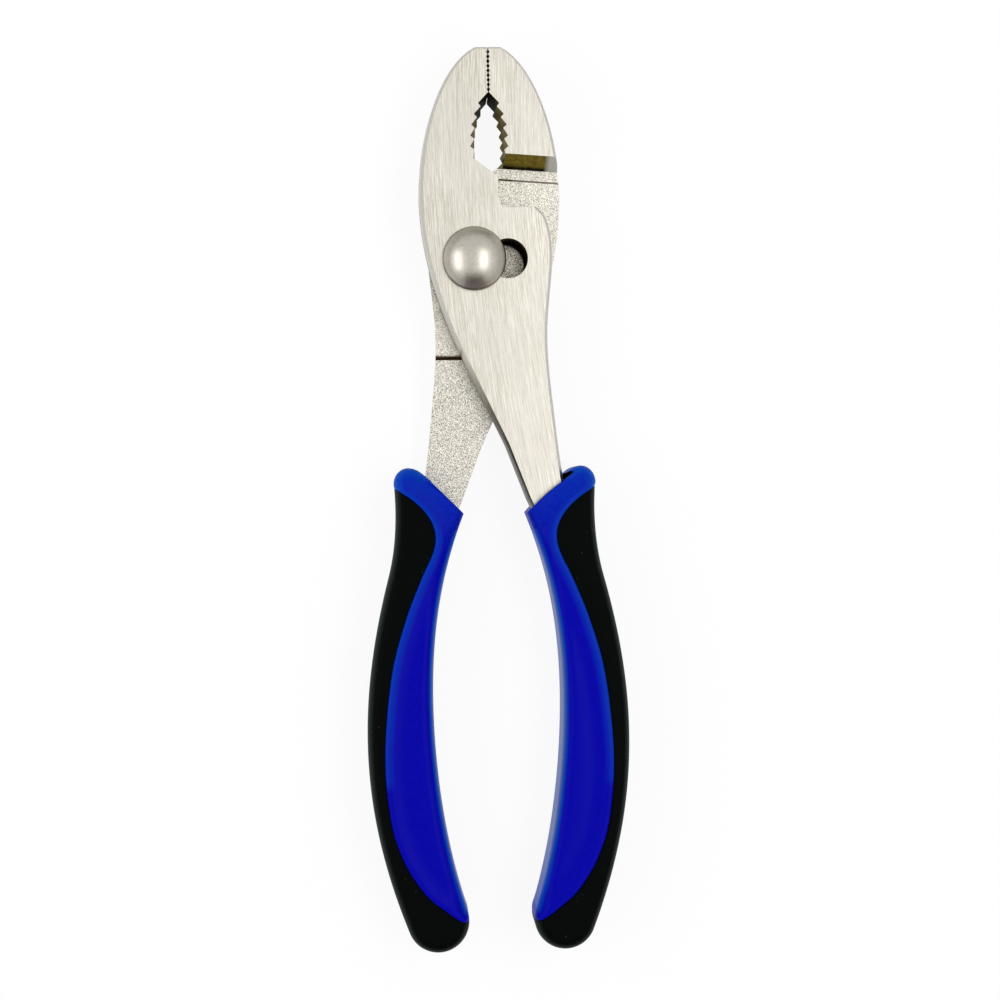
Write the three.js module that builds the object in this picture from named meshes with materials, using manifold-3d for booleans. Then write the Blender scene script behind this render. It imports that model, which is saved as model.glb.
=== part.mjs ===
// Slip-joint pliers with two-material grips, lying on their back, jaws closed.
// Millimetres, +Z up. The origin is on the pivot bolt's axis, in the plane that the tool lies on.
// +Y runs to the jaw tips and +X to the right-hand handle. Both halves are the same forging: the rear one is
// the front one turned half a turn about the tool's centreline, so every lever and grip is built once.
import * as THREE from "three";
import { mergeVertices } from "three/addons/utils/BufferGeometryUtils.js";
import Module from "manifold-3d";

const wasm = await Module();
wasm.setup();

// Clearances
const FIT = 0.3; // around a piece that is moulded or fitted over another
const RUNNING = 0.2; // under the bolt's head and over its nut
const LAP_GAP = 0.3; // between the two levers' bearing pads
const JAW_GAP = 0.2; // between the closed jaws

// Pivot
const SLOT_PITCH = 7.4; // between the two seats of the slip joint
const SLOT_RADIUS = 4.4;
const SLOT_WAIST = 4.8; // channel between the seats, which the bolt's two flats pass
const STEM_RADIUS = 3.5; // bolt's round stem in the rear lever
const THREAD_RADIUS = 2.9;
const HEAD_RADIUS = 7;
const HEAD_HEIGHT = 4.6;
const HEAD_RIM = 0.7; // upright band under the dome
const NUT_ACROSS_FLATS = 11;
const NUT_HEIGHT = 2.3;
const NUT_CHAMFER = 0.5;

// Levers, measured from the pivot axis along the tool and from the tool's centreline across it
const LEVER_THICKNESS = 10; // through the closed jaws
const SIDE_SWELL = 0.9; // a lever's sides bulge by this much from face to mid-thickness
const SIDE_BAND = 1; // upright band at mid-thickness, where the forging was trimmed
const JAW_LENGTH = 47.1;
const TIP_WIDTH = 2.9; // flat end of one jaw
const JAW_HALF_WIDTH = 15.7;
const JAW_WIDEST = 14;
const JAW_SQUARENESS = 1.9; // exponent of the jaw's back curve, 2 is an ellipse
const HEEL_START = 21; // where the jaw's back curve has become the straight heel
const HEEL_OFFSET = 7;
const HEEL_END = 10.2; // end of the straight heel, above the top of the tang
const HEEL_END_OFFSET = 2.5;
const SHOULDER_HALF_WIDTH = 13.8;
const SHOULDER_ROUND = 3; // from the shoulder's width to the notch's floor
const WAIST_HALF_WIDTH = 12.4;
const WAIST = 18;
const NECK_HALF_WIDTH = 14.1;
const NECK = 13; // above the top of the tang

// Inner edge of a jaw
const THROAT_TOP = 36.6;
const THROAT_BOTTOM = 22.1;
const THROAT_BELLY = 25.5;
const THROAT_HALF_WIDTH = 3.3;
const THROAT_FLOOR_HALF_WIDTH = 3.6;
const THROAT_ROUNDNESS = 2.3; // exponent of the line of tooth crests, 1 is straight to the top
const THROAT_DRAFT = 0.45; // each side of the throat leans in by this much from the front face to the back
const PIPE_TOOTH_PITCH = 2.38;
const PIPE_TOOTH_DEPTH = 0.9;
const PIPE_TOOTH_UNDERCUT = 0.32; // share of the pitch taken by a tooth's short flank
const FINE_TOOTH_PITCH = 1.03;
const FINE_TOOTH_DEPTH = 0.28;
const FINE_TOOTH_FLAT = 0.2; // crest left between two notches
const THROAT_CORNER = 18; // where the throat's floor meets the cutter notch
const NOTCH_SIDE = 1.7; // from the centreline to the notch's side
const NOTCH_FLOOR = 11.3;
const NOTCH_CHAMFER_RISE = 2.6;
const NOTCH_CHAMFER_RUN = 1;

// Lap joint
const SEAT_RISE = 1; // lower edge of a jaw's full thickness, above the throat's floor
const SEAT_SLOPE_RUN = 2.3;
const SEAT_TILT = 4.2; // degrees
const LEDGE_WIDTH = 2.3;
const PAD_HEIGHT = 0.8; // bearing pad over the ledge and the tang
const PAD_TOP_RUN = 0.5; // slope of the pad's end at the ledge
const PAD_END = 21.1;
const PAD_END_RUN = 0.7;

// Grips, on an arc that is furthest from the centreline at the belly.
// Places on it are lengths along the arc, positive from the belly towards the jaws, and distances outside it.
const GRIP_THICKNESS = 15;
const GRIP_ARC_RADIUS = 130;
const GRIP_BELLY = 102; // from the pivot axis, along the tool
const GRIP_BELLY_OFFSET = 21.55;
const GRIP_TOP = 53;
const GRIP_COLLAR = 43;
const GRIP_WAIST = 27;
const GRIP_PALM = -20;
const GRIP_END = -44.5; // centre of the rounded butt
const GRIP_COLLAR_HALF_WIDTH = 5.8;
const GRIP_WAIST_HALF_WIDTH = 6.15;
const GRIP_BELLY_HALF_WIDTH = 7.3;
const GRIP_PALM_HALF_WIDTH = 7.5;
const GRIP_BUTT_RADIUS = 6.8;
const GRIP_EDGE_DEPTH = 3.2; // of the rounded edge, along the thickness
const GRIP_EDGE_WIDTH = 2.8; // of the rounded edge, across the grip
const COLLAR_FLARE = 4.8; // outward swell of the collar at its mouth
const COLLAR_FLARE_START = 30.6;
const COLLAR_FLARE_END = 49.2;
const RIM_OUTER = [53.9, 8.3]; // the mouth's rim runs between these two places
const RIM_INNER = [49.4, -5.5];
const RIM_BOW = 0.8; // the rim bows this far towards the jaws
const RIM_LIP_RADIUS = 2.8;
const MOUTH_RELIEF = 1.1; // open gap beside the tang
const MOUTH_RELIEF_DEPTH = 7;

// Overmoulded skin: the edge of its face starts on the collar's outer side and ends across the butt
const SKIN_WALL = 1.6;
const SKIN_COLLAR_EDGE = [[-0.2, 14], [-1.1, 5.2], [-2.9, 1], [-6.1, -1.5], [-11.1, -2.1], [-16.3, -1.1]];
const SKIN_PALM_EDGE = [[22.7, 0.6], [10.2, 2.3], [-6.8, 3.7], [-20.4, 4.1]];
const SKIN_BUTT_EDGE = [[15, 3.1], [7.1, 0.6], [1.8, -2.6], [-0.4, -4.8], [0, -6.5], [0.9, -14]];

// Tang inside the grip
const TANG_TOP = 52;
const TANG_END = -27;
const TANG_HALF_WIDTH = 4.6;
const TANG_END_HALF_WIDTH = 2.8;
const SLEEVE_WALL = 1; // left between the tang and the skin at the grip's waist
const TANG_HALF_THICKNESS = 3.5;
const TANG_RAMP_TOP = 44; // above the belly, along the tool
const TANG_RAMP_END = 37;

// Places worked out from the sizes
const CENTRELINE = SLOT_PITCH / 2;
const MIDPLANE = NUT_HEIGHT + RUNNING + LEVER_THICKNESS / 2;
const FACE = LEVER_THICKNESS / 2; // from the midplane to a lever's flat face
const BOLT_RADIUS = SLOT_RADIUS - FIT;
const BOLT_FLATS = SLOT_WAIST - 2 * FIT;
const SEAT = THROAT_BOTTOM + SEAT_RISE;
const TANG_WAIST_HALF_WIDTH = GRIP_WAIST_HALF_WIDTH - SKIN_WALL - SLEEVE_WALL - 2 * FIT;
const BEYOND = 2 * GRIP_BELLY; // reach of a cutter past the tool

// Numbers of facets
const ARC_STEPS = 14;
const GRIP_STEPS = 22;
const END_STEPS = 8;
const ROUND_STEPS = 40;
const EDGE_STEPS = 3;

const point = (x, y) => new THREE.Vector2(x, y);

// Solids

function toSolid(geometry) {
  const flat = geometry.index ? geometry.toNonIndexed() : geometry;
  const bare = new THREE.BufferGeometry();
  bare.setAttribute("position", flat.getAttribute("position"));
  const merged = mergeVertices(bare, 1e-4);
  const vertProperties = merged.getAttribute("position").array;
  const triVerts = new Uint32Array(merged.index.array);
  return new wasm.Manifold(new wasm.Mesh({ numProp: 3, vertProperties, triVerts }));
}

function toGeometry(solid) {
  const { vertProperties, triVerts } = solid.getMesh();
  const geometry = new THREE.BufferGeometry();
  geometry.setAttribute("position", new THREE.BufferAttribute(vertProperties, 3));
  geometry.setIndex(new THREE.BufferAttribute(triVerts, 1));
  const shaded = geometry.toNonIndexed();
  shaded.computeVertexNormals();
  return shaded;
}

// A plate with an outline in plan, from one level to another.
function prism(outline, low, high) {
  const shape = new THREE.Shape(outline);
  const geometry = new THREE.ExtrudeGeometry(shape, { depth: high - low, bevelEnabled: false });
  return toSolid(geometry.translate(0, 0, low));
}

// A plate with rounded edges. A negative inset makes it larger than its outline.
function roundedPlate(outline, low, high, edgeWidth, edgeDepth, inset = 0) {
  const geometry = new THREE.ExtrudeGeometry(new THREE.Shape(outline), {
    depth: high - low - 2 * edgeDepth,
    bevelThickness: edgeDepth,
    bevelSize: edgeWidth,
    bevelOffset: -edgeWidth - inset,
    bevelSegments: EDGE_STEPS,
  });
  return toSolid(geometry.translate(0, 0, low + edgeDepth));
}

// A solid through outlines of equal numbers of points at rising levels.
function loft(layers) {
  const count = layers[0][0].length;
  const corners = layers.flatMap(([outline, level]) =>
    outline.map((p) => new THREE.Vector3(p.x, p.y, level)));
  const cap = THREE.ShapeUtils.triangulateShape(layers[0][0], []);
  const last = corners.length - count;
  const triangles = cap.flatMap(([a, b, c]) => [a, c, b, last + a, last + b, last + c]);
  for (let start = 0; start < last; start += count) {
    for (let i = 0; i < count; i += 1) {
      const a = start + i;
      const b = start + ((i + 1) % count);
      triangles.push(a, b, b + count, a, b + count, a + count);
    }
  }
  const geometry = new THREE.BufferGeometry().setFromPoints(corners);
  geometry.setIndex(triangles);
  return toSolid(geometry);
}

// A bar across the tool whose side profile is given as distances along the tool and levels.
function sideCut(profile) {
  const shape = new THREE.Shape(profile.map(([along, level]) => point(along, level)));
  const geometry = new THREE.ExtrudeGeometry(shape, { depth: 2 * BEYOND, bevelEnabled: false });
  geometry.translate(0, 0, -BEYOND);
  geometry.applyMatrix4(new THREE.Matrix4().makeBasis(
    new THREE.Vector3(0, 1, 0),
    new THREE.Vector3(0, 0, 1),
    new THREE.Vector3(1, 0, 0),
  ));
  return toSolid(geometry);
}

function turned(profile, segments = ROUND_STEPS) {
  const geometry = new THREE.LatheGeometry(profile.map(([r, level]) => point(r, level)), segments);
  return toSolid(geometry.rotateX(Math.PI / 2));
}

function drill(x, radius, low, high) {
  const geometry = new THREE.CylinderGeometry(radius, radius, high - low, ROUND_STEPS);
  return toSolid(geometry.rotateX(Math.PI / 2).translate(x, 0, (low + high) / 2));
}

// Moves each point of an open line sideways, to its left for a positive distance.
function shifted(line, distance) {
  return line.map((p, i) => {
    const before = line[Math.max(i - 1, 0)];
    const after = line[Math.min(i + 1, line.length - 1)];
    const along = after.clone().sub(before).normalize();
    return point(p.x - along.y * distance, p.y + along.x * distance);
  });
}

// The grip's arc

const arcCentre = point(GRIP_BELLY_OFFSET - GRIP_ARC_RADIUS, -GRIP_BELLY);

function onArc(along, outside = 0) {
  const angle = along / GRIP_ARC_RADIUS;
  const reach = GRIP_ARC_RADIUS + outside;
  return point(arcCentre.x + reach * Math.cos(angle), arcCentre.y + reach * Math.sin(angle));
}

function spaced(from, to, steps) {
  return Array.from({ length: steps + 1 }, (_, i) => THREE.MathUtils.lerp(from, to, i / steps));
}

// A half circle around a place on the arc, from the inner side round the far end to the outer side.
function roundEnd(along, radius) {
  const centre = onArc(along);
  const lean = along / GRIP_ARC_RADIUS;
  return spaced(Math.PI, 2 * Math.PI, END_STEPS).slice(1, -1).map((angle) =>
    point(centre.x + radius * Math.cos(angle + lean), centre.y + radius * Math.sin(angle + lean)));
}

// Half the grip's width along its arc, and the collar's extra width on the outside.
const gripWidths = new THREE.SplineCurve([
  point(GRIP_TOP, GRIP_COLLAR_HALF_WIDTH),
  point(GRIP_COLLAR, GRIP_COLLAR_HALF_WIDTH),
  point(GRIP_WAIST, GRIP_WAIST_HALF_WIDTH),
  point(0, GRIP_BELLY_HALF_WIDTH),
  point(GRIP_PALM, GRIP_PALM_HALF_WIDTH),
  point(GRIP_END, GRIP_BUTT_RADIUS),
]).getPoints(3 * GRIP_STEPS);

function gripHalfWidth(along) {
  const above = gripWidths.filter((sample) => sample.x > along).length;
  const next = THREE.MathUtils.clamp(above, 1, gripWidths.length - 1);
  const [a, b] = gripWidths.slice(next - 1, next + 1);
  return THREE.MathUtils.mapLinear(along, a.x, b.x, a.y, b.y);
}

function collarSwell(along) {
  const share = Math.max(along - COLLAR_FLARE_START, 0) / (COLLAR_FLARE_END - COLLAR_FLARE_START);
  return COLLAR_FLARE * share ** 2;
}

// Plan outlines of one half, with the jaw to the left of the centreline and the handle to the right

function jawBack() {
  const power = 2 / JAW_SQUARENESS;
  const start = Math.acos((TIP_WIDTH / JAW_HALF_WIDTH) ** (1 / power));
  const rise = (JAW_LENGTH - JAW_WIDEST) / Math.sin(start) ** power;
  return spaced(start, 0, ARC_STEPS).map((angle) =>
    point(-JAW_HALF_WIDTH * Math.cos(angle) ** power, JAW_WIDEST + rise * Math.sin(angle) ** power));
}

function heel() {
  const from = point(-JAW_HALF_WIDTH, JAW_WIDEST);
  const to = point(-HEEL_OFFSET, -HEEL_START);
  const end = point(HEEL_END_OFFSET, onArc(TANG_TOP).y + HEEL_END);
  const reach = (from.y - to.y) / 3;
  const slope = end.clone().sub(to).normalize();
  const curve = new THREE.CubicBezierCurve(
    from,
    point(from.x, from.y - reach),
    to.clone().addScaledVector(slope, -reach),
    to,
  );
  return [...curve.getPoints(ARC_STEPS).slice(1), end];
}

function tangHalfWidth(along) {
  const { mapLinear } = THREE.MathUtils;
  if (along > GRIP_WAIST) {
    return mapLinear(along, TANG_TOP, GRIP_WAIST, TANG_HALF_WIDTH, TANG_WAIST_HALF_WIDTH);
  }
  return mapLinear(along, GRIP_WAIST, TANG_END, TANG_WAIST_HALF_WIDTH, TANG_END_HALF_WIDTH);
}

function tang() {
  const stations = spaced(TANG_TOP, TANG_END, ARC_STEPS);
  const inner = stations.map((along) => onArc(along, -tangHalfWidth(along)));
  const outer = stations.map((along) => onArc(along, tangHalfWidth(along))).reverse();
  return [...inner, ...roundEnd(TANG_END, TANG_END_HALF_WIDTH), ...outer];
}

function outerSide() {
  const last = onArc(TANG_TOP, TANG_HALF_WIDTH);
  const line = new THREE.SplineCurve([
    last,
    point(NECK_HALF_WIDTH, onArc(TANG_TOP).y + NECK),
    point(WAIST_HALF_WIDTH, -WAIST),
    point(SHOULDER_HALF_WIDTH, 0),
    point(SHOULDER_HALF_WIDTH - SHOULDER_ROUND / 3, NOTCH_FLOOR - SHOULDER_ROUND),
    point(SHOULDER_HALF_WIDTH - SHOULDER_ROUND, NOTCH_FLOOR),
  ]);
  return line.getPoints(2 * ARC_STEPS).slice(1);
}

// The forging before its inner edge is cut: it overlaps the other jaw's side by a little.
function leverOutline() {
  const overlap = 3 * NOTCH_SIDE;
  return [
    ...jawBack(),
    ...heel(),
    ...tang(),
    ...outerSide(),
    point(overlap, THROAT_CORNER),
    point(overlap, JAW_LENGTH),
  ];
}

// The jaw's inner edge: fine teeth at the tip, the toothed throat, its floor and the cutter notch

function fineTeeth() {
  const count = Math.floor((JAW_LENGTH - SIDE_SWELL - THROAT_TOP) / FINE_TOOTH_PITCH);
  const half = (FINE_TOOTH_PITCH - FINE_TOOTH_FLAT) / 2;
  const lowest = THROAT_TOP + FINE_TOOTH_FLAT + half;
  const face = -JAW_GAP / 2;
  return Array.from({ length: count }, (_, i) => lowest + (count - 1 - i) * FINE_TOOTH_PITCH)
    .flatMap((y) => [
      point(face, y + half),
      point(face - FINE_TOOTH_DEPTH, y),
      point(face, y - half),
    ]);
}

// Distance of the line of tooth crests from the centreline.
function crestOffset(y) {
  const share = Math.max(y - THROAT_BELLY, 0) / (THROAT_TOP - THROAT_BELLY);
  return THROAT_HALF_WIDTH * (1 - share ** THROAT_ROUNDNESS);
}

function pipeTeeth(draft) {
  const count = Math.floor((THROAT_TOP - THROAT_BOTTOM) / PIPE_TOOTH_PITCH) - 1;
  return Array.from({ length: count }, (_, i) => THROAT_TOP - (i + 1) * PIPE_TOOTH_PITCH)
    .flatMap((rootY) => {
      const crestY = rootY - PIPE_TOOTH_UNDERCUT * PIPE_TOOTH_PITCH;
      return [
        point(draft - crestOffset(rootY) - PIPE_TOOTH_DEPTH, rootY),
        point(draft - crestOffset(crestY), crestY),
      ];
    });
}

function innerEdge(draft) {
  return [
    point(BEYOND, JAW_LENGTH + 1),
    point(-JAW_GAP / 2, JAW_LENGTH + 1),
    ...fineTeeth(),
    point(-JAW_GAP / 2, THROAT_TOP - draft),
    ...pipeTeeth(draft),
    point(-THROAT_FLOOR_HALF_WIDTH, THROAT_BOTTOM),
    point(NOTCH_SIDE + JAW_GAP, THROAT_CORNER),
    point(NOTCH_SIDE, NOTCH_FLOOR + NOTCH_CHAMFER_RISE),
    point(NOTCH_SIDE + NOTCH_CHAMFER_RUN, NOTCH_FLOOR),
    point(BEYOND, NOTCH_FLOOR),
  ];
}

// Lever: one forging

// Everything on the other lever's side of the lap, down to the jaw's sloping seat, ledge, pad and tang.
function lapCut(grow) {
  const pad = LAP_GAP / 2 - grow;
  const low = pad + PAD_HEIGHT;
  const out = -FACE - 1;
  const ledgeTop = SEAT - SEAT_SLOPE_RUN;
  const padTop = ledgeTop - LEDGE_WIDTH;
  const slope = SEAT_SLOPE_RUN / (low + FACE);
  const seat = sideCut([
    [SEAT + slope, out],
    [ledgeTop, low],
    [padTop, low],
    [padTop - PAD_TOP_RUN, pad],
    [0, pad],
    [0, out],
  ]);
  const tilted = seat.translate([THROAT_HALF_WIDTH, -SEAT, 0])
    .rotate([0, 0, SEAT_TILT])
    .translate([-THROAT_HALF_WIDTH, SEAT, 0]);
  const lap = sideCut([
    [SEAT_SLOPE_RUN, pad],
    [-PAD_END, pad],
    [-PAD_END - PAD_END_RUN, low],
    [TANG_RAMP_TOP - GRIP_BELLY, low],
    [TANG_RAMP_END - GRIP_BELLY, -TANG_HALF_THICKNESS - grow],
    [-BEYOND, -TANG_HALF_THICKNESS - grow],
    [-BEYOND, out],
    [SEAT_SLOPE_RUN, out],
  ]);
  return tilted.add(lap);
}

function tangFaceCut(grow) {
  const out = FACE + 1 + grow;
  const start = TANG_RAMP_TOP - GRIP_BELLY;
  return sideCut([
    [start, FACE + grow],
    [start, out],
    [-BEYOND, out],
    [-BEYOND, TANG_HALF_THICKNESS + grow],
    [TANG_RAMP_END - GRIP_BELLY, TANG_HALF_THICKNESS + grow],
  ]);
}

function leverBlank(grow = 0) {
  const top = FACE + grow;
  const blank = roundedPlate(leverOutline(), -top, top, SIDE_SWELL, top - SIDE_BAND / 2, -grow);
  return blank.subtract(lapCut(grow)).subtract(tangFaceCut(grow));
}

// The throat is cut from the tool's front, which is this lever's face or its back.
function lever(holes, facing) {
  const past = FACE + 1;
  const draftAt = (level) => (THROAT_DRAFT * (FACE - facing * level)) / (2 * FACE);
  const edge = loft([-past, past].map((level) => [innerEdge(draftAt(level)), level]));
  return leverBlank().subtract(edge).subtract(holes);
}

// The front lever has the slip joint's two overlapping seats, the rear one a round hole for the bolt's stem.
function slot() {
  const near = drill(-CENTRELINE, SLOT_RADIUS, -FACE, FACE + 1);
  const far = drill(CENTRELINE, SLOT_RADIUS, -FACE, FACE + 1);
  const waist = new THREE.BoxGeometry(SLOT_PITCH, SLOT_WAIST, 2 * LEVER_THICKNESS);
  return near.add(far).add(toSolid(waist));
}

function stemHole() {
  return drill(CENTRELINE, STEM_RADIUS + FIT, -FACE, FACE + 1);
}

// Grip: a sleeve over the tang, and an overmoulded skin on its palm side and butt

function gripOutline() {
  const stations = spaced(GRIP_TOP, GRIP_END, GRIP_STEPS);
  const inner = stations.map((along) => onArc(along, -gripHalfWidth(along)));
  const outer = stations.map((along) => onArc(along, gripHalfWidth(along) + collarSwell(along))).reverse();
  const above = onArc(...RIM_OUTER).y + GRIP_THICKNESS;
  return [
    point(inner[0].x, above),
    ...inner,
    ...roundEnd(GRIP_END, GRIP_BUTT_RADIUS),
    ...outer,
    point(outer.at(-1).x, above),
  ];
}

function gripBody(inset) {
  const half = GRIP_THICKNESS / 2 - inset;
  return roundedPlate(gripOutline(), -half, half, GRIP_EDGE_WIDTH, GRIP_EDGE_DEPTH, inset);
}

// Everything above the collar's bowed rim, whose outer end is rolled over.
function mouthCut() {
  const outer = onArc(...RIM_OUTER);
  const inner = onArc(...RIM_INNER);
  const slope = outer.clone().sub(inner).normalize();
  const past = inner.clone().addScaledVector(slope, -2 * RIM_LIP_RADIUS);
  const crown = outer.clone().lerp(inner, 0.5).add(point(-slope.y, slope.x).multiplyScalar(2 * RIM_BOW));
  const bow = new THREE.QuadraticBezierCurve(outer, crown, inner).getPoints(END_STEPS);
  const lip = point(outer.x + slope.y * RIM_LIP_RADIUS, outer.y - slope.x * RIM_LIP_RADIUS);
  const roll = spaced(0, Math.atan2(slope.x, -slope.y), END_STEPS).map((angle) =>
    point(lip.x + RIM_LIP_RADIUS * Math.cos(angle), lip.y + RIM_LIP_RADIUS * Math.sin(angle)));
  const outline = [
    point(BEYOND, lip.y),
    ...roll,
    ...bow.slice(1),
    past,
    point(past.x, 0),
    point(BEYOND, 0),
  ];
  return prism(outline, -GRIP_THICKNESS, GRIP_THICKNESS);
}

// The open gap between the tang's outer edge and the collar, widest at the mouth.
function mouthRelief() {
  const above = TANG_TOP + MOUTH_RELIEF_DEPTH;
  const below = TANG_TOP - MOUTH_RELIEF_DEPTH;
  const outline = [
    onArc(above, 0),
    onArc(below, 0),
    onArc(below, tangHalfWidth(below)),
    onArc(above, TANG_HALF_WIDTH + 2 * MOUTH_RELIEF),
  ];
  return prism(outline, LAP_GAP / 2 + PAD_HEIGHT - FIT, FACE + FIT);
}

// The line in plan between the sleeve's bare face and the overmoulded skin.
function skinEdge(grow) {
  const line = new THREE.SplineCurve([
    ...SKIN_COLLAR_EDGE.map(([along, outside]) => onArc(COLLAR_FLARE_END + along, outside)),
    ...SKIN_PALM_EDGE.map(([along, outside]) => onArc(along, outside)),
    ...SKIN_BUTT_EDGE.map(([along, outside]) => onArc(GRIP_END + along, outside)),
  ]);
  return shifted(line.getPoints(2 * GRIP_STEPS), -grow);
}

function skinRegion(grow) {
  const outline = [...skinEdge(grow), point(0, -BEYOND), point(BEYOND, -BEYOND), point(BEYOND, 0)];
  return prism(outline, -GRIP_THICKNESS, GRIP_THICKNESS);
}

function sleeve() {
  const bare = gripBody(0).subtract(skinRegion(FIT / 2));
  const core = gripBody(SKIN_WALL + FIT);
  const pocket = leverBlank(FIT);
  return bare.add(core).subtract(mouthCut()).subtract(pocket).subtract(mouthRelief());
}

function overmould() {
  const skin = gripBody(0).intersect(skinRegion(-FIT / 2));
  return skin.subtract(gripBody(SKIN_WALL)).subtract(mouthCut());
}

// Pivot bolt and nut

function bolt() {
  const seat = MIDPLANE + FACE + RUNNING;
  const dome = HEAD_HEIGHT - HEAD_RIM;
  const ball = (HEAD_RADIUS ** 2 + dome ** 2) / (2 * dome);
  const top = seat + HEAD_HEIGHT;
  const reach = Math.asin(HEAD_RADIUS / ball);
  const cap = spaced(reach, 0, END_STEPS).map((angle) =>
    [ball * Math.sin(angle), top - ball + ball * Math.cos(angle)]);
  const head = turned([[0, seat], [HEAD_RADIUS, seat], ...cap.slice(0, -1), [0, top]]);
  const stem = turned([
    [0, 0],
    [THREAD_RADIUS, 0],
    [THREAD_RADIUS, NUT_HEIGHT + RUNNING],
    [STEM_RADIUS, NUT_HEIGHT + RUNNING],
    [STEM_RADIUS, MIDPLANE],
    [BOLT_FLATS / 3, MIDPLANE],
    [BOLT_FLATS / 3, MIDPLANE + RUNNING],
    [0, MIDPLANE + RUNNING],
  ]);
  const flats = new THREE.BoxGeometry(3 * BOLT_RADIUS, BOLT_FLATS, 2 * top);
  const body = drill(0, BOLT_RADIUS, MIDPLANE, seat + RUNNING).intersect(toSolid(flats));
  return head.add(body).add(stem);
}

function nut() {
  const corner = NUT_ACROSS_FLATS / Math.sqrt(3);
  const hexagon = new THREE.CylinderGeometry(corner, corner, NUT_HEIGHT, 6);
  const block = toSolid(hexagon.rotateX(Math.PI / 2).translate(0, 0, NUT_HEIGHT / 2));
  const cone = turned([
    [0, 0],
    [corner - 2 * NUT_CHAMFER, 0],
    [corner, NUT_CHAMFER],
    [corner, NUT_HEIGHT],
    [0, NUT_HEIGHT],
  ]);
  return block.intersect(cone).subtract(drill(0, THREAD_RADIUS + FIT, -1, NUT_HEIGHT + 1));
}

// Assembly

const steel = new THREE.MeshStandardMaterial({ color: 0xcfccc2, roughness: 0.35, metalness: 1 });
const satin = new THREE.MeshStandardMaterial({ color: 0xb9b6b0, roughness: 0.3, metalness: 1 });
const blue = new THREE.MeshStandardMaterial({ color: 0x0a0aa0, roughness: 0.45, metalness: 0 });
const black = new THREE.MeshStandardMaterial({ color: 0x0c0d0d, roughness: 0.6, metalness: 0 });

function piece(name, solid, material) {
  const mesh = new THREE.Mesh(toGeometry(solid), material);
  mesh.name = name;
  return mesh;
}

function half(leverName, holes, facing, side) {
  const group = new THREE.Group();
  group.add(piece(leverName, lever(holes, facing), steel));
  group.add(piece(`${side}_grip_sleeve`, sleeve(), blue));
  group.add(piece(`${side}_grip_overmould`, overmould(), black));
  group.position.set(CENTRELINE, 0, MIDPLANE);
  return group;
}

const pliers = new THREE.Group();
const front = half("front_lever", slot(), 1, "right");
const rear = half("rear_lever", stemHole(), -1, "left");
rear.rotation.y = Math.PI;
pliers.add(front, rear, piece("pivot_bolt", bolt(), satin), piece("pivot_nut", nut(), satin));

export default pliers;
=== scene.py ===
# %% [markdown]
# # Slip-joint pliers, lying on their back with the jaws closed
# The frame holds the machined model of the tool: two forged levers, a bolt, a nut and two grips in two
# materials. This notebook dresses it. Each step makes one piece or one finish of the real tool, in
# millimetres that one scale turns to metres, and every piece rides on the body of the frame that carries
# it.

# %% Load the frame
import math

import bmesh
import bpy
import numpy as np
from mathutils import Matrix, Vector


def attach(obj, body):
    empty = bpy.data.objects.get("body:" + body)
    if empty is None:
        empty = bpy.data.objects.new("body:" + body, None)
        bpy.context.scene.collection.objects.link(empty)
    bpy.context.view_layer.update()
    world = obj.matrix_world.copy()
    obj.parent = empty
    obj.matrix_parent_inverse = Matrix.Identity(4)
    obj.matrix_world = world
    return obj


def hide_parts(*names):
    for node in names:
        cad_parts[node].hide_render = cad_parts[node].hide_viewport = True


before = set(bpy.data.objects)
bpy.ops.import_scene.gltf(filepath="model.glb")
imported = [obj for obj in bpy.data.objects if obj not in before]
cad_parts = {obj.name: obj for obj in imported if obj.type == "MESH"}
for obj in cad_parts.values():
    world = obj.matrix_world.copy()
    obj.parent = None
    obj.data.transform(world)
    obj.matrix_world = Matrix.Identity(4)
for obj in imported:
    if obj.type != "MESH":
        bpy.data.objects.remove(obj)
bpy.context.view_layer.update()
MM = 0.001

# %% [markdown]
# ## Camera
# The photograph looks straight down on the tool from about 38 cm, a little left of the middle, so the right
# walls of the throat show. A lens of about 62 mm on a 36 mm sensor frames 22 cm at the face of the steel.
# The camera is aimed at the middle of the picture instead of being shifted, so other views stay centred.

# %% Camera
CAMERA_PLACE = Vector((-17.3, -52.8, 392.5)) * MM
PICTURE_MIDDLE = Vector((4.74, -53.16, 12.5)) * MM
PICTURE_WIDTH = 220 * MM
PICTURE_ROLL = 0.0168  # radians, the tool lies turned by this much in the picture
SENSOR = 36
NEAREST = 10 * MM  # nothing closer than this is drawn

sight = PICTURE_MIDDLE - CAMERA_PLACE
upward = Vector((PICTURE_ROLL, 1, 0))
right = sight.cross(upward).normalized()
camera_data = bpy.data.cameras.new("camera")
camera_data.sensor_width = SENSOR
camera_data.lens = SENSOR * sight.length / PICTURE_WIDTH
camera_data.clip_start = NEAREST
camera = bpy.data.objects.new("camera", camera_data)
turn = Matrix((right, right.cross(sight).normalized(), -sight.normalized())).transposed()
camera.matrix_world = Matrix.Translation(CAMERA_PLACE) @ turn.to_4x4()
bpy.context.scene.collection.objects.link(camera)
bpy.context.scene.camera = camera
print("lens:", round(camera_data.lens, 1), "mm")

# %% [markdown]
# ## Light and background
# The light in the photograph is that of a white tent: white from every side, with two upright highlights on
# the pivot's dome, which two long soft lamps above the tool draw here. The world is white for the camera
# and for mirror rays, and weaker as a light, so that colours render as they are written.

# %% Helpers for nodes and colours
MODES = {"Math": "operation", "VectorMath": "operation", "Mix": "data_type", "Attribute": "attribute_name"}


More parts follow.
